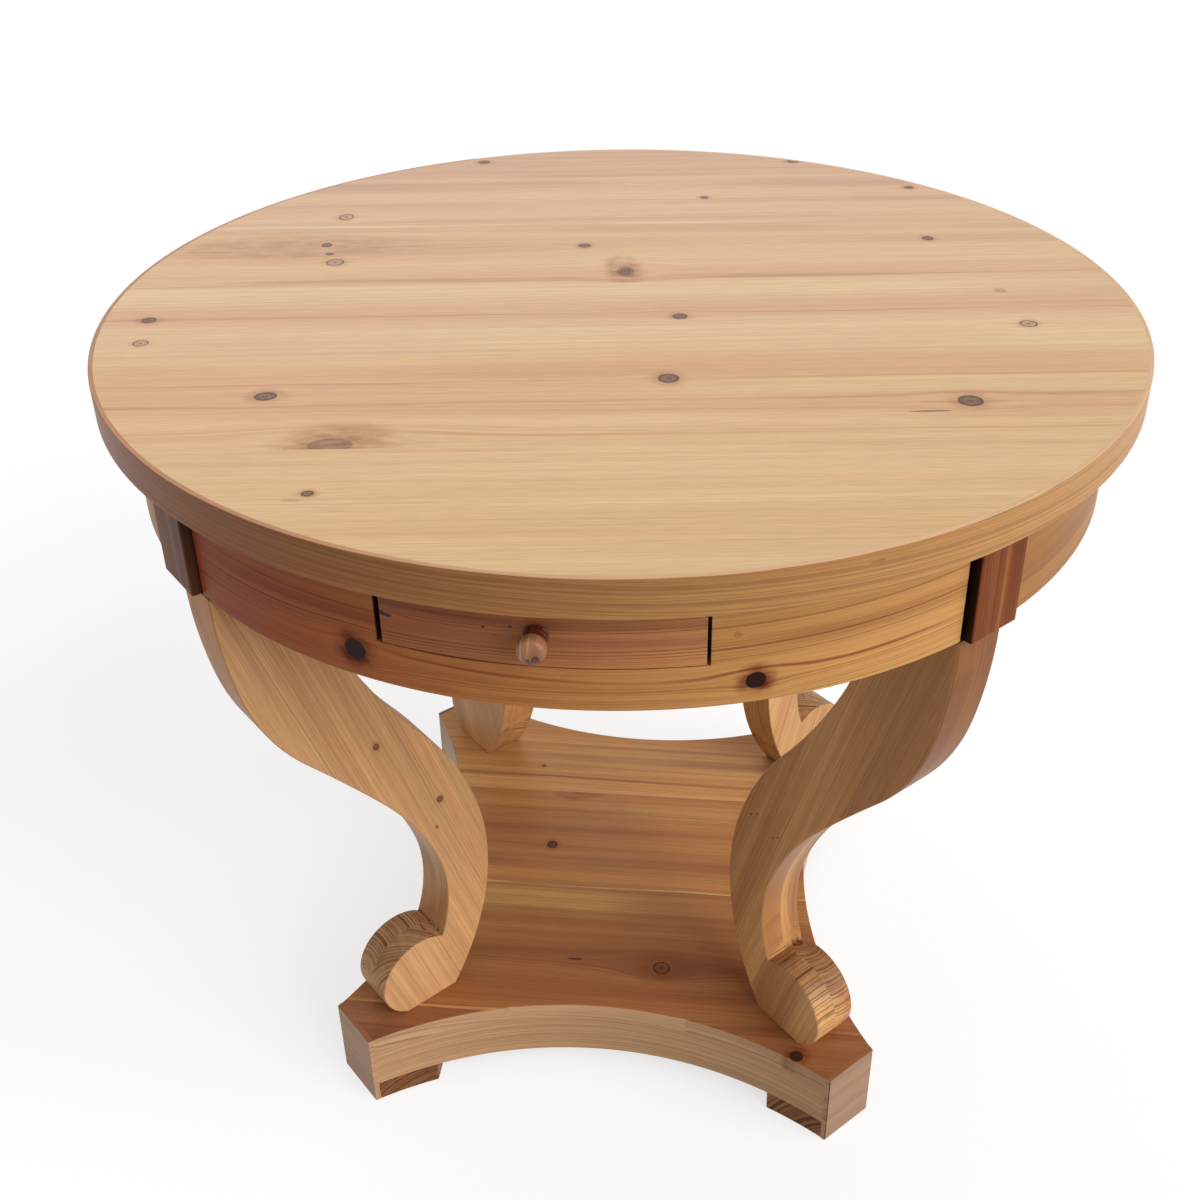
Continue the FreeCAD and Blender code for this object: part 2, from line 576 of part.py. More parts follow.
def make_knob():
    """Turned mushroom knob: a straight neck, and a head that flares from it to a flattened dome."""
    head = KNOB_HEAD_RADIUS
    top = KNOB_PROJECTION
    profile = [(0, 0), (KNOB_NECK_RADIUS, 0), (KNOB_NECK_RADIUS, KNOB_NECK_LENGTH), (head, KNOB_HEAD_START),
               (head, KNOB_HEAD_END), (KNOB_CROWN_RADIUS, KNOB_CROWN_START), (0, top)]
    points = [V(radius, 0, along) for radius, along in profile]
    knob = Part.Face(Part.makePolygon(points + points[:1])).revolve(V(0, 0, 0), UP, 360)
    knob.rotate(V(0, 0, 0), V(1, 0, 0), 90)
    knob.translate(V(0, -APRON_RADIUS, OPENING_BOTTOM + KNOB_RISE))
    return knob


# ---------------------------------------------------------------- build
def main():
    """Build every piece and write it."""
    os.makedirs("parts", exist_ok=True)
    pieces = {}
    makers = (make_top, make_aprons, make_caps, make_legs, make_plinth,
              make_framing, make_screws, make_drawer)
    for maker in makers:
        pieces.update(maker())
    for name, shape in sorted(pieces.items()):
        if not shape.isValid():
            print("INVALID", name)
        print("%-28s solids %d  volume %.0f mm3" % (name, len(shape.Solids), shape.Volume))
        write(name, shape)
    print(len(pieces), "pieces")


main()
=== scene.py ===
"""Tavern table: round boarded top, curved apron with a bow-fronted drawer, four S-scroll legs and a
hollow-sided plinth. Metres and degrees, +Z up, the origin on the floor under the centre of the top, the
drawer towards -Y.
"""
import json
import logging
import math
from abc import ABC, abstractmethod
from collections.abc import Callable, Iterable
from dataclasses import dataclass, field
from enum import Enum

import bmesh
import bpy
from mathutils import Matrix, Vector

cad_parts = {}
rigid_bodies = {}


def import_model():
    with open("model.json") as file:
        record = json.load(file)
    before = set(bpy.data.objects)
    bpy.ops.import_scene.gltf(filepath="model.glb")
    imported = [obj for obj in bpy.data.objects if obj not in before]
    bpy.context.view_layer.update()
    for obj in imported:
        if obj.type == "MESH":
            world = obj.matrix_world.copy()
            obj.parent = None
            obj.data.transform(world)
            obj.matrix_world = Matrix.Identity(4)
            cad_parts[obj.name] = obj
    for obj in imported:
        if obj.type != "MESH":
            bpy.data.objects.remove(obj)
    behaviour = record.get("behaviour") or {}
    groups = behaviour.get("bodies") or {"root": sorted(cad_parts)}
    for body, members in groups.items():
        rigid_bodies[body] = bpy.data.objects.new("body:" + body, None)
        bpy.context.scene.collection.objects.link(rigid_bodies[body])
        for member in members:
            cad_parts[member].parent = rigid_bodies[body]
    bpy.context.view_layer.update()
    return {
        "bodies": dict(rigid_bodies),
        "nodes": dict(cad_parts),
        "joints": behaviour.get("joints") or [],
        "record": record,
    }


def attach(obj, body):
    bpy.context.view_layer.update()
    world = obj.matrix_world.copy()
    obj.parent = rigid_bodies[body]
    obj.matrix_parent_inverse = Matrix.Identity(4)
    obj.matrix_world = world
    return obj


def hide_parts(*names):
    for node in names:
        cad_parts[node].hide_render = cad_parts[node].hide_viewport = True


LOG = logging.getLogger("tavern_table")
MM = 0.001
SMOOTH_ANGLE = math.radians(32.0)  # an edge that is sharper is an arris
FLAT_ANGLE = math.radians(0.6)  # faces that bend less are one flat face
SAME_POINT = 2e-5
ARRIS_FACES = 3

APRON_RADIUS = 0.425
CORNER_ANGLES = {"front_left": -132.6, "front_right": -44.6, "back_right": 47.4, "back_left": 135.4}

# what all boards share; the cells are those of a noise in a metre along the grain and in a metre across it
FLUSH_CELLS = (0.9, 20.0)
STREAK_CELLS = (2.4, 160.0)
FIBRE_CELLS = (34.0, 760.0)
DRIFT_CELLS = (1.2, 8.0)
FIBRE_SHARE = 0.42
CALM_SQUEEZE = 0.92
SEAM_DARKNESS = 0.9
GRAIN_RELIEF = 0.1 * MM

WHITE = (1.0, 1.0, 1.0, 1.0)
Colour = tuple[float, float, float, float]
Rgb = tuple[int, int, int]
Triple = tuple[float, float, float]


def linear(rgb: Rgb) -> Colour:
    """Turn an 8-bit display colour into the linear colour that a shader takes.

    Args:
        rgb: red, green and blue from 0 to 255.

    Returns:
        The linear colour with an alpha of 1.
    """
    channels = []
    for value in rgb:
        share = value / 255.0
        channels.append(share / 12.92 if share <= 0.04045 else ((share + 0.055) / 1.055) ** 2.4)
    return (channels[0], channels[1], channels[2], 1.0)


def polar(radius: float, degrees: float, height: float = 0.0) -> Vector:
    """Return the point at a radius and a direction from the table's axis."""
    angle = math.radians(degrees)
    return Vector((radius * math.cos(angle), radius * math.sin(angle), height))


def turn_of(along: Vector, across: Vector, through: Vector) -> Triple:
    """Return the turn that lays a board's three axes along three directions."""
    return tuple(Matrix((along, across, through)).transposed().to_euler())


def upright_turn(angle: float) -> Triple:
    """Return the turn that sets the grain upright on a face that looks along a direction."""
    outward, up = polar(1.0, angle), Vector((0.0, 0.0, 1.0))
    return turn_of(up, outward.cross(up), up.cross(outward.cross(up)))


# ------------------------------------------------------------------------------------ shader maths
class Value:
    """A shader socket that takes part in Python arithmetic."""

    def __init__(self, graph: "Graph", socket: bpy.types.NodeSocket) -> None:
        """Wrap a socket of a graph."""
        self.graph = graph
        self.socket = socket

    def __add__(self, other: "Number") -> "Value":
        """Add."""
        return self.graph.maths("ADD", self, other)

    __radd__ = __add__

    def __sub__(self, other: "Number") -> "Value":
        """Subtract."""
        return self.graph.maths("SUBTRACT", self, other)

    def __rsub__(self, other: "Number") -> "Value":
        """Subtract from a number."""
        return self.graph.maths("SUBTRACT", other, self)

    def __mul__(self, other: "Number") -> "Value":
        """Multiply."""
        return self.graph.maths("MULTIPLY", self, other)

    __rmul__ = __mul__

    def __truediv__(self, other: "Number") -> "Value":
        """Divide."""
        return self.graph.maths("DIVIDE", self, other)

    def __pow__(self, other: "Number") -> "Value":
        """Raise to a power."""
        return self.graph.maths("POWER", self, other)

    def __abs__(self) -> "Value":
        """Take the absolute value."""
        return self.graph.maths("ABSOLUTE", self)


Number = Value | float
Place = tuple[Value, Value, Value]


class Graph:
    """The node tree of a material or of the surround."""

    def __init__(self, owner: bpy.types.Material | bpy.types.World) -> None:
        """Empty the owner's tree.

        Args:
            owner: the material or the world that the tree belongs to.
        """
        owner.use_nodes = True
        self.owner = owner
        self.tree = owner.node_tree
        self.tree.nodes.clear()

    def add(self, kind: str, settings: dict | None = None, sockets: dict | None = None,
            output: int | str = 0) -> Value:
        """Add a node.

        Args:
            kind: the node's type.
            settings: what is set on the node before its sockets.
            sockets: a value or a link for each input, by name or number.
            output: which output is returned.

        Returns:
            The output as a Value.
        """
        node = self.tree.nodes.new(kind)
        for name, setting in (settings or {}).items():
            setattr(node, name, setting)
        for key, value in (sockets or {}).items():
            if isinstance(value, Value):
                self.tree.links.new(value.socket, node.inputs[key])
            else:
                node.inputs[key].default_value = value
        return Value(self, node.outputs[output])

    def maths(self, operation: str, *terms: Number) -> Value:
        """Add a Math node.

        Args:
            operation: the node's operation.
            terms: its one, two or three inputs.

        Returns:
            The result.
        """
        return self.add("ShaderNodeMath", {"operation": operation}, dict(enumerate(terms)))

    def mix(self, factor: Number, first: Value | Colour, second: Value | Colour,
            blend: str = "MIX") -> Value:
        """Mix two colours.

        Args:
            factor: the second colour's share.
            first: the colour at 0.
            second: the colour at 1.
            blend: the blend type.

        Returns:
            The mixed colour.
        """
        settings = {"data_type": "RGBA", "blend_type": blend, "clamp_factor": True}
        return self.add("ShaderNodeMix", settings, {0: factor, 6: first, 7: second}, 2)

    def step(self, value: Value, low: float, high: float, start: float = 0.0, end: float = 1.0) -> Value:
        """Ramp smoothly from one number to another.

        Args:
            value: what is ramped.
            low: the value at which the ramp starts.
            high: the value at which it ends.
            start: the result at and below low.
            end: the result at and above high.

        Returns:
            The result.
        """
        settings = {"interpolation_type": "SMOOTHSTEP"}
        sockets = {"Value": value, "From Min": low, "From Max": high, "To Min": start, "To Max": end}
        return self.add("ShaderNodeMapRange", settings, sockets)

    def noise(self, place: Value, scale: float, detail: float = 2.0) -> Value:
        """Return noise from about 0 to 1 at a place."""
        sockets = {"Vector": place, "Scale": scale, "Detail": detail, "Roughness": 0.5}
        return self.add("ShaderNodeTexNoise", None, sockets)

    def vector(self, x: Number, y: Number, z: Number) -> Value:
        """Combine three numbers into a vector."""
        return self.add("ShaderNodeCombineXYZ", None, {0: x, 1: y, 2: z})

    def split(self, vector: Value) -> Place:
        """Take a vector apart."""
        outputs = self.add("ShaderNodeSeparateXYZ", None, {0: vector}).socket.node.outputs
        return tuple(Value(self, output) for output in outputs)

    def turned(self, coordinate: str, turn: Triple, origin: Triple = (0.0, 0.0, 0.0)) -> Place:
        """Read a texture coordinate in axes that lie at a turn.

        Args:
            coordinate: Object for the point, Normal for how the surface faces.
            turn: the turn of the axes.
            origin: where the axes start.

        Returns:
            The three numbers in those axes.
        """
        source = self.add("ShaderNodeTexCoord", None, None, coordinate)
        sockets = {"Vector": source, "Location": origin, "Rotation": turn}
        return self.split(self.add("ShaderNodeMapping", {"vector_type": "TEXTURE"}, sockets))

    def surface(self, settings: dict[str, Number | Colour]) -> bpy.types.Material:
        """Close the graph with a Principled shader.

        Args:
            settings: the shader's sockets.

        Returns:
            The finished material.
        """
        self.add_output(self.add("ShaderNodeBsdfPrincipled", None, settings))
        return self.owner

    def add_output(self, shader: Value) -> None:
        """Link a shader to the tree's output.

        Args:
            shader: the finished shader.
        """
        kind = "World" if isinstance(self.owner, bpy.types.World) else "Material"
        node = self.tree.nodes.new(f"ShaderNodeOutput{kind}")
        self.tree.links.new(shader.socket, node.inputs["Surface"])

    def seen(self) -> Value:
        """Tell the rays that see the studio from those that light the table.

        Returns:
            1 for the camera's rays and for those that shiny and clear pieces send on, or 0.
        """
        rays = self.add("ShaderNodeLightPath", None, None, "Is Camera Ray")
        outputs = rays.socket.node.outputs
        for name in ("Is Glossy Ray", "Is Transmission Ray"):
            rays = self.maths("MAXIMUM", rays, Value(self, outputs[name]))
        return rays


# ------------------------------------------------------------------------------------ how boards lie
@dataclass(frozen=True)
class Facing:
    """How far a surface faces along a board, across it, through it (0 to 1) and up (-1 to 1)."""

    along: Value
    across: Value
    through: Value
    up: Value


@dataclass(frozen=True)
class StraightLay:
    """A straight board: where its own axes are, with its grain along its first axis."""

    origin: Triple
    turn: Triple

    def place(self, graph: Graph) -> Place:
        """Return the point along the board, across it and through it."""
        return graph.turned("Object", self.turn, self.origin)

    def facing(self, graph: Graph) -> Facing:
        """Work out how the surface faces in the board's own axes.

        Args:
            graph: the material's graph.

        Returns:
            The surface's facing.
        """
        along, across, through = graph.turned("Normal", self.turn)
        up = graph.split(graph.add("ShaderNodeTexCoord", None, None, "Normal"))[2]
        return Facing(abs(along), abs(across), abs(through), up)


@dataclass(frozen=True)
class BentLay:
    """A board bent round an upright axis, its grain along the bend."""

    centre: tuple[float, float]
    radius: float
    middle: float

    def _turn(self) -> Triple:
        """Return the turn from the table's axes to those that point at the board's middle."""
        return (0.0, 0.0, math.radians(self.middle))

    def place(self, graph: Graph) -> Place:
        """Return the point along the bend, up the board and through it."""
        x, y, z = graph.turned("Object", self._turn(), (*self.centre, 0.0))
        return graph.maths("ARCTAN2", y, x) * self.radius, z, (x * x + y * y) ** 0.5 - self.radius

    def facing(self, graph: Graph) -> Facing:
        """Work out how the surface faces in the board's own axes, which turn with the bend.

        Args:
            graph: the material's graph.

        Returns:
            The surface's facing.
        """
        x, y, _ = graph.turned("Object", self._turn(), (*self.centre, 0.0))
        nx, ny, nz = graph.turned("Normal", self._turn())
        reach = (x * x + y * y) ** 0.5
        return Facing(abs((nx * y - ny * x) / reach), abs(nz), abs((nx * x + ny * y) / reach), nz)


Lay = StraightLay | BentLay


# ------------------------------------------------------------------------------------ pine
class KnotKind(Enum):
    """How a knot looks: its core, outline, dot, halo and tails from 0 to 1, then how far the halo reaches."""

    TIGHT = (0.92, 0.80, 0.0, 0.45, 0.70, 2.3)
    RING = (0.28, 0.95, 0.85, 0.35, 0.60, 2.0)
    BLACK = (1.3, 0.9, 0.0, 1.0, 0.3, 2.6)
    FLAMED = (0.50, 0.25, 0.50, 0.85, 0.80, 3.0)
    FAINT = (0.0, 0.35, 0.30, 0.45, 0.50, 2.0)
    SMEAR = (0.0, 0.0, 0.0, 0.60, 0.0, 2.2)
    SHADE = (0.0, 0.0, 0.0, 0.35, 0.0, 2.2)
    CHECK = (1.0, 0.30, 0.0, 0.0, 0.0, 1.5)


@dataclass(frozen=True)
class Knot:
    """A knot on a board's face, placed along and across the grain.

    Its depth is bounded where through gives the middle and the half of it.
    """

    along: float
    across: float
    half_length: float
    half_width: float
    kind: KnotKind = KnotKind.TIGHT
    through: tuple[float, float] | None = None


@dataclass(frozen=True)
class Streak:
    """A run of other colour along the grain, at a place across it."""

    across: float
    half_width: float
    tint: Rgb
    share: float = 0.5


@dataclass(frozen=True)
class Pine:
    """Oiled pine, cut from a log whose rings run round its pith through the whole board.

    Early and late wood make the lines and flush the broad bands. The upper faces, the calm sides and the ends
    may have their own colours; the calm sides' multiply colour and the shade ramp along one axis are painted
    shade.
    """

    early: Rgb
    late: Rgb
    flush: Rgb
    flush_share: float = 0.8
    ring_spacing: float = 0.0024
    pith: tuple[float, float] = (0.40, -0.05)
    taper: float = 0.012
    wander: float = 0.010
    line_share: float = 0.75
    cut_contrast: float = 0.8
    end_darkness: float = 0.30
    edge_darkness: float = 0.0
    edge_depth: float = 1.0
    upper: Rgb | None = None
    sides: Rgb | None = None
    ends: Rgb | None = None
    calm: tuple[float, float] | None = None
    calm_shade_tint: Rgb | None = None
    painted_shade_ramp: tuple[int, float, float, Rgb] | None = None
    roughness: float = 0.42
    coat: float = 0.04
    sheen_level: float = 0.24
    streakiness: float = 0.20
    knot_colour: Rgb = (98, 66, 58)
    knot_rim: Rgb = (66, 42, 36)
    halo_colour: Rgb = (200, 160, 140)
    evenness: float = 0.25
    crowding: float = 0.65
    seed: float = 0.0
    knots: tuple[Knot, ...] = ()
    streaks: tuple[Streak, ...] = ()

    def material(self, name: str, lay: Lay) -> bpy.types.Material:
        """Make the material of one board.

        Args:
            name: the material's name.
            lay: how the board lies.

        Returns:
            The material.
        """
        graph = Graph(bpy.data.materials.new(name))
        place = lay.place(graph)
        along, across, through = place
        facing = lay.facing(graph)
        bent, core, rim, halo = self._knots(graph, place)
        calm = self._calm(graph, place, facing)
        squeeze = 1.0 - calm * CALM_SQUEEZE
        grain = (along, bent * squeeze, through)
        lines = self._lines(graph, grain, facing, calm)
        streak = self._noise(graph, grain, STREAK_CELLS, 2.0)
        fibre = self._noise(graph, (along, across * squeeze, through), FIBRE_CELLS, 3.0)
        colour = self._ground(graph, grain, facing, calm)
        colour = graph.mix(graph.maths("MINIMUM", lines, 0.9), colour, linear(self.late))
        # painted shade: the ramp darkens the board from one place to another along one of its axes
        if self.painted_shade_ramp is not None:
            axis, start, finish, shade = self.painted_shade_ramp
            colour = graph.mix(graph.step(place[axis], start, finish), colour, linear(shade), "MULTIPLY")
        # painted shade on the calm outward faces, eased off low down so that the concave face stays lighter
        # as a painted highlight
        if self.calm_shade_tint is not None:
            calm_shade_share = calm * graph.step(along, 0.15, 0.40, 0.35, 1.0)
            colour = graph.mix(calm_shade_share, colour, linear(self.calm_shade_tint), "MULTIPLY")
        tone = 1.0 + (graph.step(streak, 0.25, 0.75) - 0.5) * self.streakiness + (fibre - 0.5) * FIBRE_SHARE
        tone = tone * self._shade(graph, through, facing)
        colour = graph.add("ShaderNodeVectorMath", {"operation": "SCALE"}, {0: colour, "Scale": tone})
        if self.knots:
            colour = graph.mix(halo, colour, linear(self.halo_colour), "MULTIPLY")
            colour = graph.mix(core, colour, linear(self.knot_colour))
            colour = graph.mix(rim, colour, linear(self.knot_rim))
        height = 0.6 - lines * 0.35 + (fibre - 0.5) * 0.5 + (streak - 0.5) * 0.3
        normal = graph.add("ShaderNodeBump", None,
                           {"Strength": 0.5, "Distance": GRAIN_RELIEF, "Height": height})
        rough = self.roughness + (fibre - 0.5) * 0.12 + lines * 0.05
        return graph.surface({"Base Color": colour, "Roughness": rough, "Normal": normal,
                              "Coat Weight": self.coat, "Coat Roughness": 0.28, "IOR": 1.38,
                              "Specular IOR Level": self.sheen_level})

    def _noise(self, graph: Graph, place: Place, cells: tuple[float, float], detail: float) -> Value:
        """Return noise that is drawn out along the grain.

        Args:
            graph: the material's graph.
            place: the point along the board, across it and through it.
            cells: cells of the noise in a metre along the grain and in a metre across it.
            detail: layers of finer noise.

        Returns:
            The noise, from about 0 to 1.
        """
        along, across, through = place
        stretched = graph.vector(along * cells[0] + self.seed, across * cells[1], through * cells[1])
        return graph.noise(stretched, 1.0, detail)

    def _calm(self, graph: Graph, place: Place, facing: Facing) -> Value:
        """Find the cut faces that show only lines along the board.

        Args:
            graph: the material's graph.
            place: the point along the board, across it and through it.
            facing: how the surface faces.

        Returns:
            1 on such a face and 0 elsewhere.
        """
        along, across, _ = place
        if self.sides is not None:
            return graph.step(abs(facing.up), 0.3, 0.8, 1.0, 0.0)
        if self.calm is not None:
            return graph.step(facing.through, 0.5, 0.95, 1.0, 0.0) * graph.step(along - across, *self.calm)
        return along * 0.0

    def _ground(self, graph: Graph, grain: Place, facing: Facing, calm: Value) -> Value:
        """Colour the wood between the dark lines.

        Args:
            graph: the material's graph.
            grain: the point along, across and through, bent round the knots.
            facing: how the surface faces.
            calm: where a cut face shows only lines along the board.

        Returns:
            The colour.
        """
        flush = graph.step(self._noise(graph, grain, FLUSH_CELLS, 2.0), 0.36, 0.64) * self.flush_share
        colour = graph.mix(flush, linear(self.early), linear(self.flush))
        colour = self._streaks(graph, grain, colour)
        if self.upper is not None:
            colour = graph.mix(graph.step(facing.up, 0.6, 0.9), colour, linear(self.upper))
        if self.sides is not None:
            colour = graph.mix(calm, colour, linear(self.sides))
        if self.ends is not None:
            colour = graph.mix(graph.step(facing.along, 0.5, 0.9), colour, linear(self.ends))
        return colour

    def _shade(self, graph: Graph, through: Value, facing: Facing) -> Value:
        """Darken the ends, the edges and the seam beside an end.

        Args:
            graph: the material's graph.
            through: the place through the board.
            facing: how the surface faces.

        Returns:
            The factor that the colour is multiplied by.
        """
        # end darkness: darker end grain, and where it is set high, painted shade in the gaps at the ends of
        # the apron and drawer front
        tone = 1.0 - graph.step(facing.along, 0.35, 0.95) * self.end_darkness
        if self.ends is not None:
            seam = graph.step(facing.along, 0.04, 0.25) * graph.step(facing.along, 0.75, 0.95, 1.0, 0.0)
            tone = tone * (1.0 - seam * SEAM_DARKNESS)
        # edge darkness: painted shade in the gaps above and below the drawer front; on the caps it darkens
        # the side faces
        deep = graph.step(through, self.edge_depth - MM, self.edge_depth + MM, self.edge_darkness, 0.0)
        return tone * (1.0 - graph.step(facing.across, 0.3, 0.7) * deep)

    def _lines(self, graph: Graph, grain: Place, facing: Facing, calm: Value) -> Value:
        """Draw the dark late wood, stronger on cut faces and fainter where a face turns calm.

        Args:
            graph: the material's graph.
            grain: the point along, across and through, bent round the knots.
            facing: how the surface faces.
            calm: where a cut face shows only lines along the board.

        Returns:
            The late wood's share.
        """
        cut = graph.step(facing.through, 0.5, 0.95, 1.0, 0.0) * graph.step(facing.along, 0.15, 0.75, 0.3, 1.0)
        lines = self._rings(graph, grain)
        lines = lines * (1.0 + cut * (1.0 - calm) * self.cut_contrast) * (1.0 - calm * (1.0 - calm) * 3.4)
        if self.upper is not None:
            lines = lines * (1.0 - graph.step(facing.up, 0.6, 0.9) * 0.8)
        return lines

    def _rings(self, graph: Graph, grain: Place) -> Value:
        """Cut the log's rings at a point: their width, crowding and strength vary from ring to ring.

        Args:
            graph: the material's graph.
            grain: the point along, across and through, bent round the knots.

        Returns:
            The share of dark late wood.
        """
        along, across, through = grain
        drift = self._noise(graph, grain, DRIFT_CELLS, 3.0) - 0.5
        side, depth = across - self.pith[0], through - self.pith[1]
        reach = (side * side + depth * depth) ** 0.5
        even = (reach + along * self.taper + drift * self.wander) / self.ring_spacing
        sway = graph.add("ShaderNodeTexNoise", {"noise_dimensions": "1D"},
                         {"W": even * 0.30 + self.seed, "Scale": 1.0, "Detail": 2.0})
        crowd = graph.add("ShaderNodeTexNoise", {"noise_dimensions": "1D"},
                          {"W": even * 0.11 + self.seed + 40.0, "Scale": 1.0, "Detail": 1.0})
        rings = even + (sway - 0.5) * 4.0
        share = graph.maths("FRACT", rings)
        uneven = graph.add("ShaderNodeTexWhiteNoise", {"noise_dimensions": "1D"},
                           {"W": graph.maths("FLOOR", rings) + self.seed})
        line = graph.step(share, 0.35, 0.90) * graph.step(share, 0.93, 1.0, 1.0, 0.0)
        strength = uneven * uneven * (1.0 - self.evenness) + self.evenness
        strength = strength * graph.step(crowd, 0.32, 0.62, 1.0 - self.crowding, 1.0)
        return line * strength * self.line_share

    def _streaks(self, graph: Graph, grain: Place, colour: Value) -> Value:
        """Lay the streaks over the colour.

        Args:
            graph: the material's graph.
            grain: the point along, across and through, bent round the knots.
            colour: the colour without them.

        Returns:
            The colour with its streaks.
        """
        if not self.streaks:
            return colour
        along, across, _ = grain
        sway = graph.noise(graph.vector(along * 4.0 + self.seed, 0.0, 0.0), 1.0) - 0.5
        ragged = graph.noise(graph.vector(along * 3.0 + self.seed, across * 90.0, 0.0), 1.0)
        for number, streak in enumerate(self.streaks):
            off = abs(across + sway * 0.012 - streak.across) / streak.half_width + (ragged - 0.5) * 0.9
            fading = graph.noise(graph.vector(along * 3.6 + number * 7.0 + self.seed, 5.0, 0.0), 1.0, 1.0)
            mask = graph.step(off, 0.20, 1.25, streak.share, 0.0) * graph.step(fading, 0.36, 0.60, 0.12, 1.0)
            colour = graph.mix(mask, colour, linear(streak.tint))
        return colour

    def _knots(self, graph: Graph, place: Place) -> tuple[Value, Value, Value, Value]:
        """Bend the grain round the knots and mark them.

        Args:
            graph: the material's graph.
            place: the point along the board, across it and through it.

        Returns:
            The place across as the rings see it, and the masks of the cores, the outlines and the halos.
        """
        along, across, through = place
        if not self.knots:
            return across, across, across, across
        wobble = graph.noise(graph.vector(along * 260.0, across * 260.0, 0.0), 1.0) - 0.5
        bent = across
        masks: list[Value] = []
        for knot in self.knots:
            core_share, rim_share, dot_share, halo_share, tail_share, halo_reach = knot.kind.value
            side = across - knot.across
            u = (along - knot.along) / knot.half_length
            v = side / knot.half_width
            far = (u * u + v * v) ** 0.5 + wobble * 0.18
            if knot.through is not None:
                centre, half = knot.through
                far = far + graph.step(abs(through - centre) / half, 0.7, 1.2, 0.0, 3.0)
            bent = bent - side * graph.maths("EXPONENT", (u * u * 0.16 + v * v) * -0.40) * 0.85
            ripple = graph.maths("SINE", far * 11.0) * 0.12 + 0.88
            core = graph.step(far, 0.88, 1.0, core_share, 0.0) * ripple
            dot = graph.step(far, 0.10, 0.34, dot_share, 0.0)
            rim = graph.step(abs(far - 0.92), 0.02, 0.14, rim_share, 0.0)
            tail = graph.step(abs(v) * 2.4 + abs(u) * 0.20, 0.0, 1.0, tail_share, 0.0)
            halo = graph.step(far, 0.9, halo_reach, halo_share, 0.0)
            marks = [graph.maths("MAXIMUM", core, dot), rim, graph.maths("MAXIMUM", halo, tail)]
            masks = [graph.maths("MAXIMUM", held, mark) for held, mark in zip(masks, marks)] or marks
        core, rim, halo = masks
        cloud = graph.noise(graph.vector(along * 45.0 + self.seed, across * 90.0, 0.0), 1.0)
        return bent, core * (wobble * 0.5 + 1.0), rim, halo * graph.step(cloud, 0.25, 0.65, 0.25, 1.15)


@dataclass(frozen=True)
class Steel:
    """Zinc-coated screw steel."""

    bright: Rgb = (178, 176, 170)
    dull: Rgb = (120, 116, 108)

    def material(self, name: str) -> bpy.types.Material:
        """Make the material.

        Args:
            name: the material's name.

        Returns:
            The material.
        """
        graph = Graph(bpy.data.materials.new(name))
        place = graph.add("ShaderNodeTexCoord", None, None, "Object")
        speck = graph.noise(place, 900.0, 3.0)
        colour = graph.mix(speck, linear(self.bright), linear(self.dull))
        rough = 0.30 + speck * 0.15
        return graph.surface({"Base Color": colour, "Roughness": rough, "Metallic": 1.0})


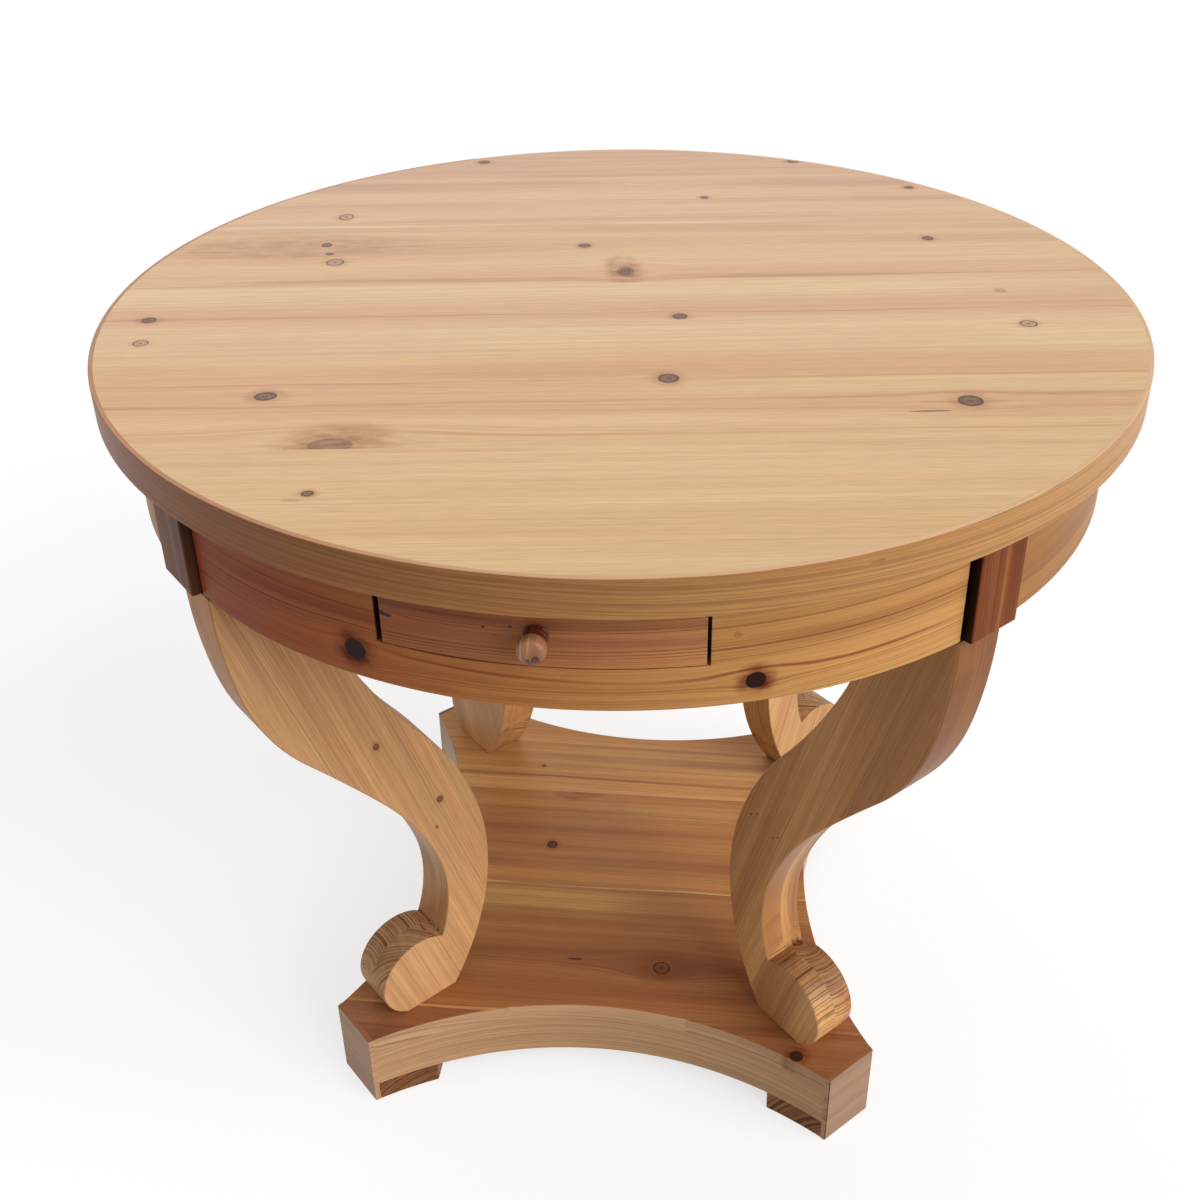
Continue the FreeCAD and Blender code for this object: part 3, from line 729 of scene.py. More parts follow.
# ------------------------------------------------------------------------------------ pieces
class Joiner:
    """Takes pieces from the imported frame, makes new ones and hands them to their bodies."""

    def __init__(self, frame: dict) -> None:
        """Keep the frame.
        """
        self.frame = frame
        self.body_of = {node: body for body, nodes in frame["record"]["behaviour"]["bodies"].items()
                        for node in nodes}
        self.slot_of = {part["node"]: part["material_slot"] for part in frame["record"]["subparts"]}

    def dress_node(self, node: str, material: bpy.types.Material) -> None:
        """Give a node that keeps its own shape its material.

        Args:
            node: the node.
            material: its material.
        """
        mesh = self.frame["nodes"][node].data
        mesh.materials.clear()
        mesh.materials.append(material)
        LOG.info("%s keeps its own shape", node)

    def dress_piece(self, piece: bpy.types.Object, material: bpy.types.Material, *nodes: str) -> None:
        """Give a new piece its material and body, and let it stand for its nodes.

        Args:
            piece: the new piece.
            material: its material.
            nodes: the nodes that it replaces.
        """
        piece.data.materials.clear()
        piece.data.materials.append(material)
        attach(piece, self.body_of[nodes[0]])
        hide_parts(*nodes)
        LOG.info("%s stands for %s", piece.name, ", ".join(nodes))

    def shaped(self, name: str, form: bmesh.types.BMesh) -> bpy.types.Object:
        """Turn a finished bmesh into an object with even shading.

        Args:
            name: the object's name.
            form: the mesh, which is freed.

        Returns:
            The object.
        """
        mesh = bpy.data.meshes.new(name)
        form.to_mesh(mesh)
        form.free()
        for polygon in mesh.polygons:
            polygon.use_smooth = True
        mesh.set_sharp_from_angle(angle=SMOOTH_ANGLE)
        piece = bpy.data.objects.new(name, mesh)
        bpy.context.scene.collection.objects.link(piece)
        weigh = piece.modifiers.new("even shading", "WEIGHTED_NORMAL")
        weigh.keep_sharp = True
        weigh.weight = 100
        return piece

    def eased(self, node: str, ease: float,
              chosen: Callable[[bmesh.types.BMEdge], bool] | None = None) -> bpy.types.Object:
        """Copy a node with eased arrises.

        Args:
            node: the node that is copied.
            ease: width of the eased arrises.
            chosen: says whether an edge is eased; every sharp edge is, where it is left out.

        Returns:
            The copy.
        """
        form = bmesh.new()
        form.from_mesh(self.frame["nodes"][node].data)
        bmesh.ops.remove_doubles(form, verts=form.verts, dist=SAME_POINT)
        bmesh.ops.dissolve_limit(form, angle_limit=FLAT_ANGLE, verts=form.verts, edges=form.edges)
        sharp = [edge for edge in form.edges
                 if len(edge.link_faces) == 2 and edge.calc_face_angle(0.0) > SMOOTH_ANGLE
                 and (chosen is None or chosen(edge))]
        self.ease(form, sharp, ease)
        return self.shaped(self.title(node), form)

    @staticmethod
    def title(node: str) -> str:
        """Return the name of the object that stands for a node."""
        return node.title().replace("_", "")

    @staticmethod
    def ease(form: bmesh.types.BMesh, edges: list[bmesh.types.BMEdge], width: float) -> None:
        """Round some edges of a form.

        Args:
            form: the mesh.
            edges: the edges that are rounded.
            width: width of the eased arrises.
        """
        if edges:
            bmesh.ops.bevel(form, geom=edges, offset=width, offset_type="OFFSET", segments=ARRIS_FACES,
                            profile=0.5, affect="EDGES", clamp_overlap=True, material=-1)


def middle(edge: bmesh.types.BMEdge) -> Vector:
    """Return the point halfway along an edge."""
    return (edge.verts[0].co + edge.verts[1].co) * 0.5


KnotPlace = tuple[float, float, float, float, KnotKind]


def on_boards(places: Iterable[KnotPlace], turn: float) -> tuple[Knot, ...]:
    """Turn knots that are placed on the table into knots on level boards.

    Args:
        places: x, y, half length and half width of each in millimetres, and its kind.
        turn: the direction of the boards' grain in radians.

    Returns:
        The knots, placed along and across the grain.
    """
    knots = []
    for x, y, long, wide, kind in places:
        along = (x * math.cos(turn) + y * math.sin(turn)) * MM
        across = (y * math.cos(turn) - x * math.sin(turn)) * MM
        knots.append(Knot(along, across, long * MM, wide * MM, kind))
    return tuple(knots)


def on_apron(places: Iterable[KnotPlace]) -> tuple[Knot, ...]:
    """Turn knots that are placed round the table into knots on the bent front.

    Args:
        places: direction in degrees, height in metres, half length and half width in millimetres, and kind.

    Returns:
        The knots, placed along and across the grain.
    """
    return tuple(Knot(math.radians(angle + 90.0) * APRON_RADIUS, height, long * MM, wide * MM, kind)
                 for angle, height, long, wide, kind in places)


class SubAssembly(ABC):
    """A group of pieces that is built and dressed together."""

    @abstractmethod
    def build(self, joiner: Joiner) -> None:
        """Make the pieces and dress them, with a joiner that knows the frame."""


# ------------------------------------------------------------------------------------ top
@dataclass(frozen=True)
class TopBoard:
    """One board of the top and the knots that it carries, placed on the table."""

    early: Rgb
    late: Rgb
    flush: Rgb
    pith: tuple[float, float]
    taper: float
    knots: tuple[KnotPlace, ...] = ()
    streaks: tuple[tuple[float, float, Rgb, float], ...] = ()


@dataclass
class RoundTop(SubAssembly):
    """Six edge-glued boards and the band bent round them."""

    height: float = 0.758
    thickness: float = 31.0 * MM
    radius: float = 0.44988  # a hair less than the boards and band measure together
    band_thickness: float = 3.88 * MM
    band_joint: float = -61.0
    grain_angle: float = 8.8
    band_ease: float = 0.8 * MM
    band_facets: int = 288
    tongue: float = 1.2 * MM  # the band's body reaches this far under the boards' rim
    tongue_drop: float = 0.02 * MM
    boards: tuple[TopBoard, ...] = (
        TopBoard((224, 188, 140), (194, 146, 100), (218, 178, 130), (-0.75, -0.07), 0.008,
                 ((-166, -367, 4.5, 4, KnotKind.TIGHT), (-174, -377, 5, 1.2, KnotKind.FAINT)),
                 ((-279, 4, (198, 136, 96), 0.45), (-352, 14, (232, 200, 148), 0.5),
                  (-392, 5, (214, 164, 112), 0.5))),
        TopBoard((224, 188, 138), (192, 140, 96), (216, 168, 126), (-0.60, -0.14), 0.012,
                 ((-172, -298, 17, 11, KnotKind.FLAMED), (-166, -290, 24, 17, KnotKind.SMEAR),
                  (59, -158, 8.5, 8.5, KnotKind.TIGHT), (291, -171, 10, 9.5, KnotKind.TIGHT),
                  (-246, -226, 9, 7.5, KnotKind.TIGHT), (260, -192, 17, 1.1, KnotKind.CHECK)),
                 ((-142, 22, (214, 162, 124), 0.6), (-166, 2.4, (190, 122, 90), 0.6),
                  (-203, 3, (190, 128, 92), 0.6), (-236, 12, (234, 202, 154), 0.5),
                  (-258, 2.5, (196, 138, 98), 0.5))),
        TopBoard((226, 192, 148), (194, 146, 104), (216, 172, 132), (0.60, -0.12), 0.010,
                 ((56, -34, 6.5, 6.5, KnotKind.TIGHT), (351, -16, 7.5, 7, KnotKind.RING),
                  (-397, -95, 6.5, 6, KnotKind.TIGHT), (-384, -142, 6.5, 6, KnotKind.RING),
                  (334, 57, 4, 4, KnotKind.FAINT)),
                 ((-26, 16, (212, 160, 126), 0.6), (-33, 1.6, (180, 114, 86), 0.6),
                  (-96, 22, (232, 202, 154), 0.6), (16, 14, (230, 198, 150), 0.5))),
        TopBoard((224, 187, 143), (186, 136, 98), (216, 170, 129), (0.65, -0.16), 0.014,
                 ((-52, 128, 6, 5.5, KnotKind.TIGHT), (-4, 65, 8, 13, KnotKind.FLAMED),
                  (-4, 65, 5, 8, KnotKind.TIGHT), (-10, 84, 9, 14, KnotKind.SMEAR),
                  (277, 185, 5.5, 6, KnotKind.TIGHT), (-301, 101, 5, 6, KnotKind.TIGHT),
                  (-279, 57, 8.5, 8.5, KnotKind.RING), (-291, 78, 4, 3.5, KnotKind.TIGHT),
                  (-330, 92, 70, 22, KnotKind.SHADE)),
                 ((176, 12, (194, 156, 122), 0.5), (142, 16, (198, 158, 124), 0.45),
                  (50, 6, (182, 130, 94), 0.6), (96, 14, (226, 190, 150), 0.5))),
        TopBoard((221, 182, 143), (184, 134, 102), (211, 165, 130), (0.85, -0.10), 0.010,
                 ((51, 284, 4.5, 4.5, KnotKind.TIGHT), (265, 341, 5, 5, KnotKind.TIGHT),
                  (-306, 182, 7.5, 9, KnotKind.RING)),
                 ((322, 18, (186, 144, 118), 0.6), (197, 4, (234, 202, 166), 0.7),
                  (262, 10, (196, 150, 120), 0.5))),
        TopBoard((217, 178, 142), (182, 134, 104), (205, 160, 127), (0.90, -0.10), 0.010,
                 ((-206, 380, 6.5, 6, KnotKind.TIGHT), (303, 325, 5.5, 5, KnotKind.TIGHT),
                  (140, 421, 7, 6, KnotKind.TIGHT)),
                 ((352, 8, (196, 152, 124), 0.5), (410, 12, (196, 152, 126), 0.5))),
    )

    def build(self, joiner: Joiner) -> None:
        """Dress the boards and make the band.

        Args:
            joiner: the joiner that knows the frame.
        """
        turn = math.radians(self.grain_angle)
        for number, board in enumerate(self.boards, start=1):
            streaks = tuple(Streak(across * MM, half_width * MM, tint, share)
                            for across, half_width, tint, share in board.streaks)
            wood = Pine(board.early, board.late, board.flush, pith=board.pith, taper=board.taper,
                        seed=number * 7.3, knots=on_boards(board.knots, turn), streaks=streaks,
                        line_share=0.70, ring_spacing=0.0020, wander=0.007, crowding=0.70, evenness=0.15,
                        streakiness=0.09)
            lay = StraightLay((0.0, 0.0, self.height), (0.0, 0.0, turn))
            joiner.dress_node(f"top_board_{number}", wood.material(f"top board {number}", lay))
        band = self.make_band(joiner)
        # the ramp darkens the band towards its left, the side away from the key lamp: painted shade
        wood = Pine((190, 141, 86), (122, 80, 48), (173, 122, 71), 0.8, 0.0022, (0.70, -0.05), 0.020,
                    line_share=0.62, streakiness=0.14, wander=0.02, seed=3.0, upper=(222, 180, 138),
                    evenness=0.65, crowding=0.3, painted_shade_ramp=(0, -0.02, -0.50, (212, 186, 176)),
                    knots=(Knot(-0.001, 0.750, 0.004, 0.0008, KnotKind.FAINT),))
        lay = BentLay((0.0, 0.0), self.radius, self.band_joint)
        joiner.dress_piece(band, wood.material("edge band", lay), "top_edge_band")

    def make_band(self, joiner: Joiner) -> bpy.types.Object:
        """Bend the band round the boards.

        Args:
            joiner: the joiner that makes it an object.

        Returns:
            The band, its butt joint closed.
        """
        form = bmesh.new()
        inner, lower = self.radius - self.band_thickness, self.height - self.thickness
        tongue = inner - self.tongue
        section = ((tongue, lower), (self.radius, lower), (self.radius, self.height), (inner, self.height),
                   (tongue, self.height - self.tongue_drop))
        points = [form.verts.new((reach, 0.0, height)) for reach, height in section]
        edges = [form.edges.new(pair) for pair in zip(points, points[1:] + points[:1])]
        bmesh.ops.spin(form, geom=[*points, *edges], cent=(0.0, 0.0, 0.0), axis=(0.0, 0.0, 1.0),
                       dvec=(0.0, 0.0, 0.0), angle=math.tau, steps=self.band_facets, use_merge=True)
        bmesh.ops.remove_doubles(form, verts=form.verts, dist=SAME_POINT)
        bmesh.ops.recalc_face_normals(form, faces=form.faces)
        outer = [edge for edge in form.edges
                 if abs(edge.verts[0].co.z - edge.verts[1].co.z) < SAME_POINT
                 and min(vert.co.xy.length for vert in edge.verts) > self.radius - SAME_POINT]
        Joiner.ease(form, outer, self.band_ease)
        return joiner.shaped("TopEdgeBand", form)


# ------------------------------------------------------------------------------------ apron
@dataclass
class ApronRing(SubAssembly):
    """Four curved apron boards and the caps between them."""

    radius: float = APRON_RADIUS
    mid_height: float = 0.68
    ease: float = 0.9 * MM
    middles: dict[str, float] = field(default_factory=lambda: {
        "front": -90.0, "right": 0.8, "back": 90.0, "left": 180.8})
    cap_angles: dict[str, float] = field(default_factory=lambda: {
        "front_left": -134.6, "front_right": -43.8, "back_right": 45.4, "back_left": 136.2})
    cap_streaks: tuple[Streak, ...] = (
        Streak(-0.0040, 0.0030, (170, 116, 63), 0.75), Streak(0.012, 0.0070, (154, 92, 46), 0.6),
        Streak(-0.016, 0.0080, (98, 42, 27), 0.7))
    cap_colours: dict[str, tuple[Rgb, Rgb, Rgb]] = field(default_factory=lambda: {
        "front_left": ((128, 81, 53), (78, 43, 29), (110, 69, 46)),
        "front_right": ((141, 76, 31), (68, 29, 17), (118, 57, 25)),
        "back_right": ((160, 104, 70), (96, 52, 38), (140, 86, 60)),
        "back_left": ((158, 112, 82), (100, 62, 46), (140, 96, 70))})

    knots: tuple[KnotPlace, ...] = (
        (-108.1, 0.6577, 8.5, 8.5, KnotKind.BLACK), (-70.2, 0.6534, 7.2, 6.8, KnotKind.BLACK),
        (-72.4, 0.7167, 2.2, 1.6, KnotKind.FAINT), (-72.1, 0.6925, 2.2, 1.6, KnotKind.FAINT))
    streaks: tuple[Streak, ...] = (
        Streak(0.6600, 0.0018, (120, 58, 36), 0.8), Streak(0.6850, 0.0060, (150, 88, 54), 0.6),
        Streak(0.7180, 0.0040, (140, 84, 54), 0.6), Streak(0.6440, 0.0050, (206, 152, 92), 0.5))

    def build(self, joiner: Joiner) -> None:
        """Make the boards and the caps.

        Args:
            joiner: the joiner that knows the frame.
        """
        for number, (side, angle) in enumerate(self.middles.items()):
            board = joiner.eased(f"apron_{side}", self.ease)
            lay = BentLay((0.0, 0.0), self.radius, angle)
            wood = self.wood(side == "front", 11.0 + number * 5.0)
            joiner.dress_piece(board, wood.material(f"apron {side}", lay), f"apron_{side}")
        for number, (corner, angle) in enumerate(self.cap_angles.items()):
            cap = joiner.eased(f"cap_{corner}", self.ease)
            lay = StraightLay(tuple(polar(self.radius, angle, self.mid_height)), upright_turn(angle))
            early, late, flush = self.cap_colours[corner]
            wood = Pine(early, late, flush, 0.9, 0.0020, (0.40, -0.02), 0.006, line_share=0.9,
                        edge_darkness=0.94 if corner == "front_right" else 0.50, edge_depth=0.0062,
                        sheen_level=0.08, end_darkness=0.2, seed=31.0 + number * 3.0,
                        evenness=0.5, crowding=0.2, streaks=self.cap_streaks)
            joiner.dress_piece(cap, wood.material(f"cap {corner}", lay), f"cap_{corner}")

    def wood(self, front: bool, seed: float) -> Pine:
        """Choose the wood of an apron board.

        Args:
            front: whether it is the lighter, knotty board round the drawer.
            seed: what sets its grain apart.

        Returns:
            The wood.
        """
        # end darkness 0.75 is partly darker end grain and partly painted shade in the gaps at the boards'
        # ends
        common = {"end_darkness": 0.75, "seed": seed, "sheen_level": 0.12, "wander": 0.016}
        late = (116, 62, 36)
        if not front:
            return Pine((170, 119, 62), late, (150, 100, 52), 0.8, 0.0026, (0.95, -0.05), 0.016,
                        line_share=0.5, **common)
        # the ramp darkens and reddens the front board towards its left end: painted shade on the side away
        # from the key lamp, partly a change of hue
        return Pine((216, 166, 98), late, (194, 140, 83), 0.8, 0.0026, (0.95, -0.05), 0.016,
                    line_share=0.75, painted_shade_ramp=(0, 0.30, -0.30, (189, 118, 100)), streaks=self.streaks,
                    knots=on_apron(self.knots), knot_colour=(38, 9, 4), knot_rim=(20, 8, 6),
                    halo_colour=(150, 92, 84), **common)


# ------------------------------------------------------------------------------------ legs
@dataclass(frozen=True)
class Arc:
    """Part of a leg's outline, swept about a centre in the plane of radius and height."""

    centre: tuple[float, float]
    sweep: float


@dataclass(frozen=True)
class LegKnot:
    """A knot on a leg board, placed by radius and height in millimetres, as its half sizes are."""

    place: tuple[float, float]
    half_length: float
    half_width: float
    kind: KnotKind = KnotKind.CHECK
    through: tuple[float, float] | None = None


@dataclass
class ScrollLegs(SubAssembly):
    """Four legs, each of two boards glued face to face."""

    board: float = 23.0 * MM
    ease: float = 1.6 * MM
    arc_step: float = 4.0
    least_steps: int = 10
    lean: float = 17.0  # the grain leans outwards at the top
    grain_origin: tuple[float, float] = (250.0, 86.0)
    shoulder: tuple[float, float] = (425.0, 635.0)
    post: tuple[tuple[float, float], ...] = ((345.0, 727.0), (403.2, 727.0), (403.2, 635.0))
    heel: tuple[float, float] = (244.0, 86.0)
    outer: tuple[Arc, ...] = (
        Arc((-24.94, 635.00), -12.958), Arc((195.50, 584.28), -27.396), Arc((1770.50, -753.93), 3.299),
        Arc((555.40, 163.51), 19.083), Arc((395.18, 215.47), 39.735), Arc((281.0, 125.0), -192.083))
    inner: tuple[Arc, ...] = (
        Arc((459.50, 241.42), -24.950), Arc((451.72, 239.93), -26.748), Arc((532.90, 216.81), -20.031),
        Arc((-250.72, 784.66), 11.037), Arc((36.30, 651.48), 21.837))
    board_knots: dict[str, tuple[LegKnot, ...]] = field(default_factory=lambda: {
        "front_left_b": (LegKnot((301.5, 425.7), 3.64, 2.8, KnotKind.TIGHT),
                         LegKnot((242.7, 331.2), 3.90, 3.0, KnotKind.TIGHT),
                         LegKnot((248.7, 300.0), 1.69, 1.3, KnotKind.TIGHT),
                         LegKnot((266.0, 166.0), 1.4, 1.2, KnotKind.CHECK, (0.006, 0.006))),
        "front_right_a": (LegKnot((220.4, 324.0), 1.43, 1.1), LegKnot((228.3, 329.7), 1.43, 1.1),
                          LegKnot((250.5, 316.7), 1.30, 1.0), LegKnot((256.8, 321.4), 1.30, 1.0),
                          LegKnot((268.0, 166.5), 1.4, 1.2, KnotKind.CHECK, (-0.013, 0.004)))})
    leg_colours: dict[str, tuple[Rgb, Rgb]] = field(default_factory=lambda: {
        "front_left": ((210, 160, 110), (192, 136, 90)), "front_right": ((226, 172, 112), (178, 120, 75)),
        "back_right": ((212, 166, 112), (196, 142, 94)), "back_left": ((226, 172, 118), (208, 150, 98))})
    # multiply colours for the legs' outward faces, the others take a pale one: painted shade with a warmer
    # hue, strongest on the front right leg
    outward_shade_tints: dict[str, Rgb] = field(default_factory=lambda: {
        "front_left": (238, 210, 148), "front_right": (184, 160, 118)})
    piths: dict[str, tuple[float, float]] = field(default_factory=lambda: {
        "front_right_a": (0.40, -0.01), "front_right_b": (-0.016, 0.014),
        "front_left_a": (0.066, -0.011), "front_left_b": (0.14, 0.12)})

    def build(self, joiner: Joiner) -> None:
        """Make the eight leg boards.

        Args:
            joiner: the joiner that knows the frame.
        """
        for number, (corner, angle) in enumerate(CORNER_ANGLES.items()):
            early, flush = self.leg_colours[corner]
            for side, letter in ((-1, "a"), (1, "b")):
                key = f"{corner}_{letter}"
                name = f"leg_{key}"
                piece = joiner.shaped(joiner.title(name), self.form(side, angle))
                # the outward faces take a multiply colour as painted shade
                wood = Pine(early, (112, 70, 40), flush, 0.8, 0.0032,
                            self.piths.get(key, (0.09, side * -0.05)), 0.020,
                            line_share=0.40, cut_contrast=2.8, evenness=0.50, crowding=0.3, wander=0.005,
                            calm=(0.088, 0.115), calm_shade_tint=self.outward_shade_tints.get(corner, (240, 220, 190)),
                            seed=51.0 + number * 9.0 + side, knots=self.knots(key))
                joiner.dress_piece(piece, wood.material(name.replace("_", " "), self.lay(angle)), name)

    def lay(self, angle: float) -> StraightLay:
        """Lay a leg's boards, the grain leaning in the leg's own plane.

        Args:
            angle: the leg's direction from the table's axis.

        Returns:
            How its boards lie.
        """
        lean = math.radians(self.lean)
        outward = polar(1.0, angle)
        along = outward * math.sin(lean) + Vector((0.0, 0.0, math.cos(lean)))
        through = Vector((-outward.y, outward.x, 0.0))
        radius, height = self.grain_origin
        return StraightLay(tuple(polar(radius * MM, angle, height * MM)),
                           turn_of(along, through.cross(along), through))

    def knots(self, key: str) -> tuple[Knot, ...]:
        """Place the knots of one board along and across its grain.

        Args:
            key: the board's corner and letter.

        Returns:
            Its knots.
        """
        lean = math.radians(self.lean)
        knots = []
        for knot in self.board_knots.get(key, ()):
            reach, rise = ((place - start) * MM for place, start in zip(knot.place, self.grain_origin))
            along = reach * math.sin(lean) + rise * math.cos(lean)
            across = reach * math.cos(lean) - rise * math.sin(lean)
            knots.append(Knot(along, across, knot.half_length * MM, knot.half_width * MM,
                              knot.kind, knot.through))
        return tuple(knots)

    def form(self, side: int, angle: float) -> bmesh.types.BMesh:
        """Model one board.

        Args:
            side: -1 or 1, the side of the glue line that it lies on.
            angle: the leg's direction from the table's axis.

        Returns:
            The board in place.
        """
        form = bmesh.new()
        start = self._point(form, self.shoulder)
        tip = self._sweep(form, start, self.outer)
        tip = self._line(form, tip, self.heel)
        tip = self._sweep(form, tip, self.inner)
        for place in self.post:
            tip = self._line(form, tip, place)
        form.edges.new((tip, start))
        face = bmesh.ops.contextual_create(form, geom=form.edges[:])["faces"][0]
        outline = bmesh.ops.extrude_face_region(form, geom=[face])["geom"]
        moved = [item for item in outline if isinstance(item, bmesh.types.BMVert)]
        bmesh.ops.translate(form, verts=moved, vec=(0.0, side * self.board, 0.0))
        bmesh.ops.recalc_face_normals(form, faces=form.faces)
        below_apron = (self.shoulder[1] + 0.5) * MM
        arris = [edge for edge in form.edges
                 if all(abs(vert.co.y) > self.board / 2 for vert in edge.verts)
                 and middle(edge).z < below_apron]
        Joiner.ease(form, arris, self.ease)
        bmesh.ops.rotate(form, verts=form.verts, cent=(0.0, 0.0, 0.0),
                         matrix=Matrix.Rotation(math.radians(angle), 3, "Z"))
        return form

    @staticmethod
    def _point(form: bmesh.types.BMesh, place: tuple[float, float]) -> bmesh.types.BMVert:
        """Put a vertex at a radius and height in millimetres."""
        return form.verts.new((place[0] * MM, 0.0, place[1] * MM))

    def _line(self, form: bmesh.types.BMesh, tip: bmesh.types.BMVert,
              place: tuple[float, float]) -> bmesh.types.BMVert:
        """Draw a straight line.

        Args:
            form: the mesh.
            tip: where the outline ends so far.
            place: where the line goes, by radius and height in millimetres.

        Returns:
            The new tip.
        """
        end = self._point(form, place)
        form.edges.new((tip, end))
        return end

    def _sweep(self, form: bmesh.types.BMesh, tip: bmesh.types.BMVert,
               arcs: Iterable[Arc]) -> bmesh.types.BMVert:
        """Sweep the tip of the outline along arcs.

        Args:
            form: the mesh.
            tip: where the outline ends so far.
            arcs: the arcs in order.

        Returns:
            The new tip.
        """
        for arc in arcs:
            steps = max(self.least_steps, math.ceil(abs(arc.sweep) / self.arc_step))
            centre = (arc.centre[0] * MM, 0.0, arc.centre[1] * MM)
            swept = bmesh.ops.spin(form, geom=[tip], cent=centre, axis=(0.0, -1.0, 0.0), dvec=(0.0, 0.0, 0.0),
                                   angle=math.radians(arc.sweep), steps=steps)
            tip = next(item for item in swept["geom_last"] if isinstance(item, bmesh.types.BMVert))
        return tip


# ------------------------------------------------------------------------------------ plinth
@dataclass
class HollowPlinth(SubAssembly):
    """Platform boards, hollowed skirts, corner facings and foot pads."""

    top: float = 0.086
    grain_angle: float = 2.2
    base_turn: float = 1.4
    joints: tuple[float, ...] = (-0.21603, -0.04503, 0.10297)
    ease: float = 1.2 * MM
    facing_inner: float = 0.3450
    facing_face: float = 0.3490
    facing_ease: float = 0.8 * MM
    skirt_foot: float = 0.030
    hole_edge: float = 0.004
    holes_within: float = 0.300
    same_height: float = 0.1 * MM
    same_joint: float = 0.4 * MM
    pad_grain: float = -97.0
    facing_middle: tuple[float, float] = (0.35, 0.04)  # its distance from the axis and its height
    pad_middle: tuple[float, float] = (0.33, 0.01)
    side_centres: dict[str, tuple[float, float, float]] = field(default_factory=lambda: {
        "front": (616.25, -90.0, 409.61), "right": (640.65, 0.0, 441.96),
        "back": (616.25, 90.0, 409.61), "left": (640.65, 180.0, 441.96)})
    # the boards run from dark at the front to light at the back board, partly as painted shade towards the
    # front
    board_colours: dict[str, tuple[Rgb, Rgb, Rgb]] = field(default_factory=lambda: {
        "plinth_board_front_left": ((150, 96, 62), (96, 50, 32), (130, 78, 48)),
        "plinth_board_front_right": ((160, 104, 63), (98, 54, 32), (138, 82, 50)),
        "plinth_board_1": ((170, 112, 66), (106, 58, 34), (148, 90, 52)),
        "plinth_board_2": ((188, 130, 76), (116, 68, 40), (162, 104, 60)),
        "plinth_board_3": ((214, 160, 100), (132, 82, 48), (192, 134, 80))})
    board_streaks_and_sheen: dict[str, tuple[tuple[float, float, Rgb, float], ...]] = field(default_factory=lambda: {
        "plinth_board_front_left": ((-0.2185, 0.0030, (214, 160, 98), 0.8),),
        "plinth_board_front_right": ((-0.2185, 0.0022, (214, 160, 98), 0.7),),
        # on board 1 the broad yellow band at -0.070 and the thin pale line at -0.047 are a painted
        # reflection; the rest are streaks in the wood
        "plinth_board_1": ((-0.070, 0.024, (204, 154, 92), 0.75), (-0.047, 0.0014, (226, 184, 124), 0.7),
                           (-0.150, 0.012, (138, 78, 50), 0.6)),
        "plinth_board_2": ((0.040, 0.010, (146, 92, 58), 0.6), (0.075, 0.014, (198, 148, 94), 0.5),
                           (-0.010, 0.012, (140, 84, 58), 0.6)),
        "plinth_board_3": ((0.107, 0.005, (206, 156, 100), 0.7), (0.128, 0.0020, (138, 84, 54), 0.6),
                           (0.165, 0.010, (158, 104, 66), 0.6))})

    board_knots: dict[str, tuple[KnotPlace, ...]] = field(default_factory=lambda: {
        "plinth_board_front_right": ((197, -242, 6.5, 6, KnotKind.BLACK),),
        "plinth_board_1": ((57, -151, 8.5, 8, KnotKind.RING), (57, -151, 17, 14, KnotKind.SHADE),
                           (-33, -150, 8, 1.3, KnotKind.CHECK)),
        "plinth_board_2": ((-85, 11, 6, 6, KnotKind.TIGHT), (-62, 99, 16, 4, KnotKind.SMEAR),
                           (-74, 94, 12, 5, KnotKind.SMEAR)),
        "plinth_board_3": ((-118, 142, 2.5, 2, KnotKind.TIGHT),)})
    facing_colours: dict[str, tuple[Rgb, Rgb]] = field(default_factory=lambda: {
        "left": ((186, 142, 106), (174, 130, 96)), "right": ((168, 132, 102), (156, 121, 93))})
    pad_colours: dict[str, tuple[Rgb, Rgb, Rgb]] = field(default_factory=lambda: {
        "left": ((140, 92, 58), (74, 38, 22), (124, 78, 46)),
        "right": ((166, 114, 72), (86, 46, 28), (148, 96, 60))})

    def build(self, joiner: Joiner) -> None:
        """Make the boards, skirts, facings and pads.

        Args:
            joiner: the joiner that knows the frame.
        """
        self.make_boards(joiner)
        self.make_skirts(joiner)
        self.make_corners(joiner)

    def make_boards(self, joiner: Joiner) -> None:
        """Make the platform boards.

        Args:
            joiner: the joiner that knows the frame.
        """
        turn = math.radians(self.grain_angle)
        lay = StraightLay((0.0, 0.0, self.top), (0.0, 0.0, turn))
        for number, (name, (early, late, flush)) in enumerate(self.board_colours.items()):
            board = joiner.eased(name, self.ease, self.is_rim)
            wood = Pine(early, late, flush, 0.8, 0.0028, (-0.35 + 0.02 * number, -0.12), 0.014,
                        line_share=0.55, seed=81.0 + number * 4.0,
                        knots=on_boards(self.board_knots.get(name, ()), turn),
                        streaks=tuple(Streak(*streak) for streak in self.board_streaks_and_sheen.get(name, ())),
                        sides=(196, 154, 114), knot_colour=(66, 30, 24), knot_rim=(44, 22, 17))
            joiner.dress_piece(board, wood.material(name.replace("_", " "), lay), name)

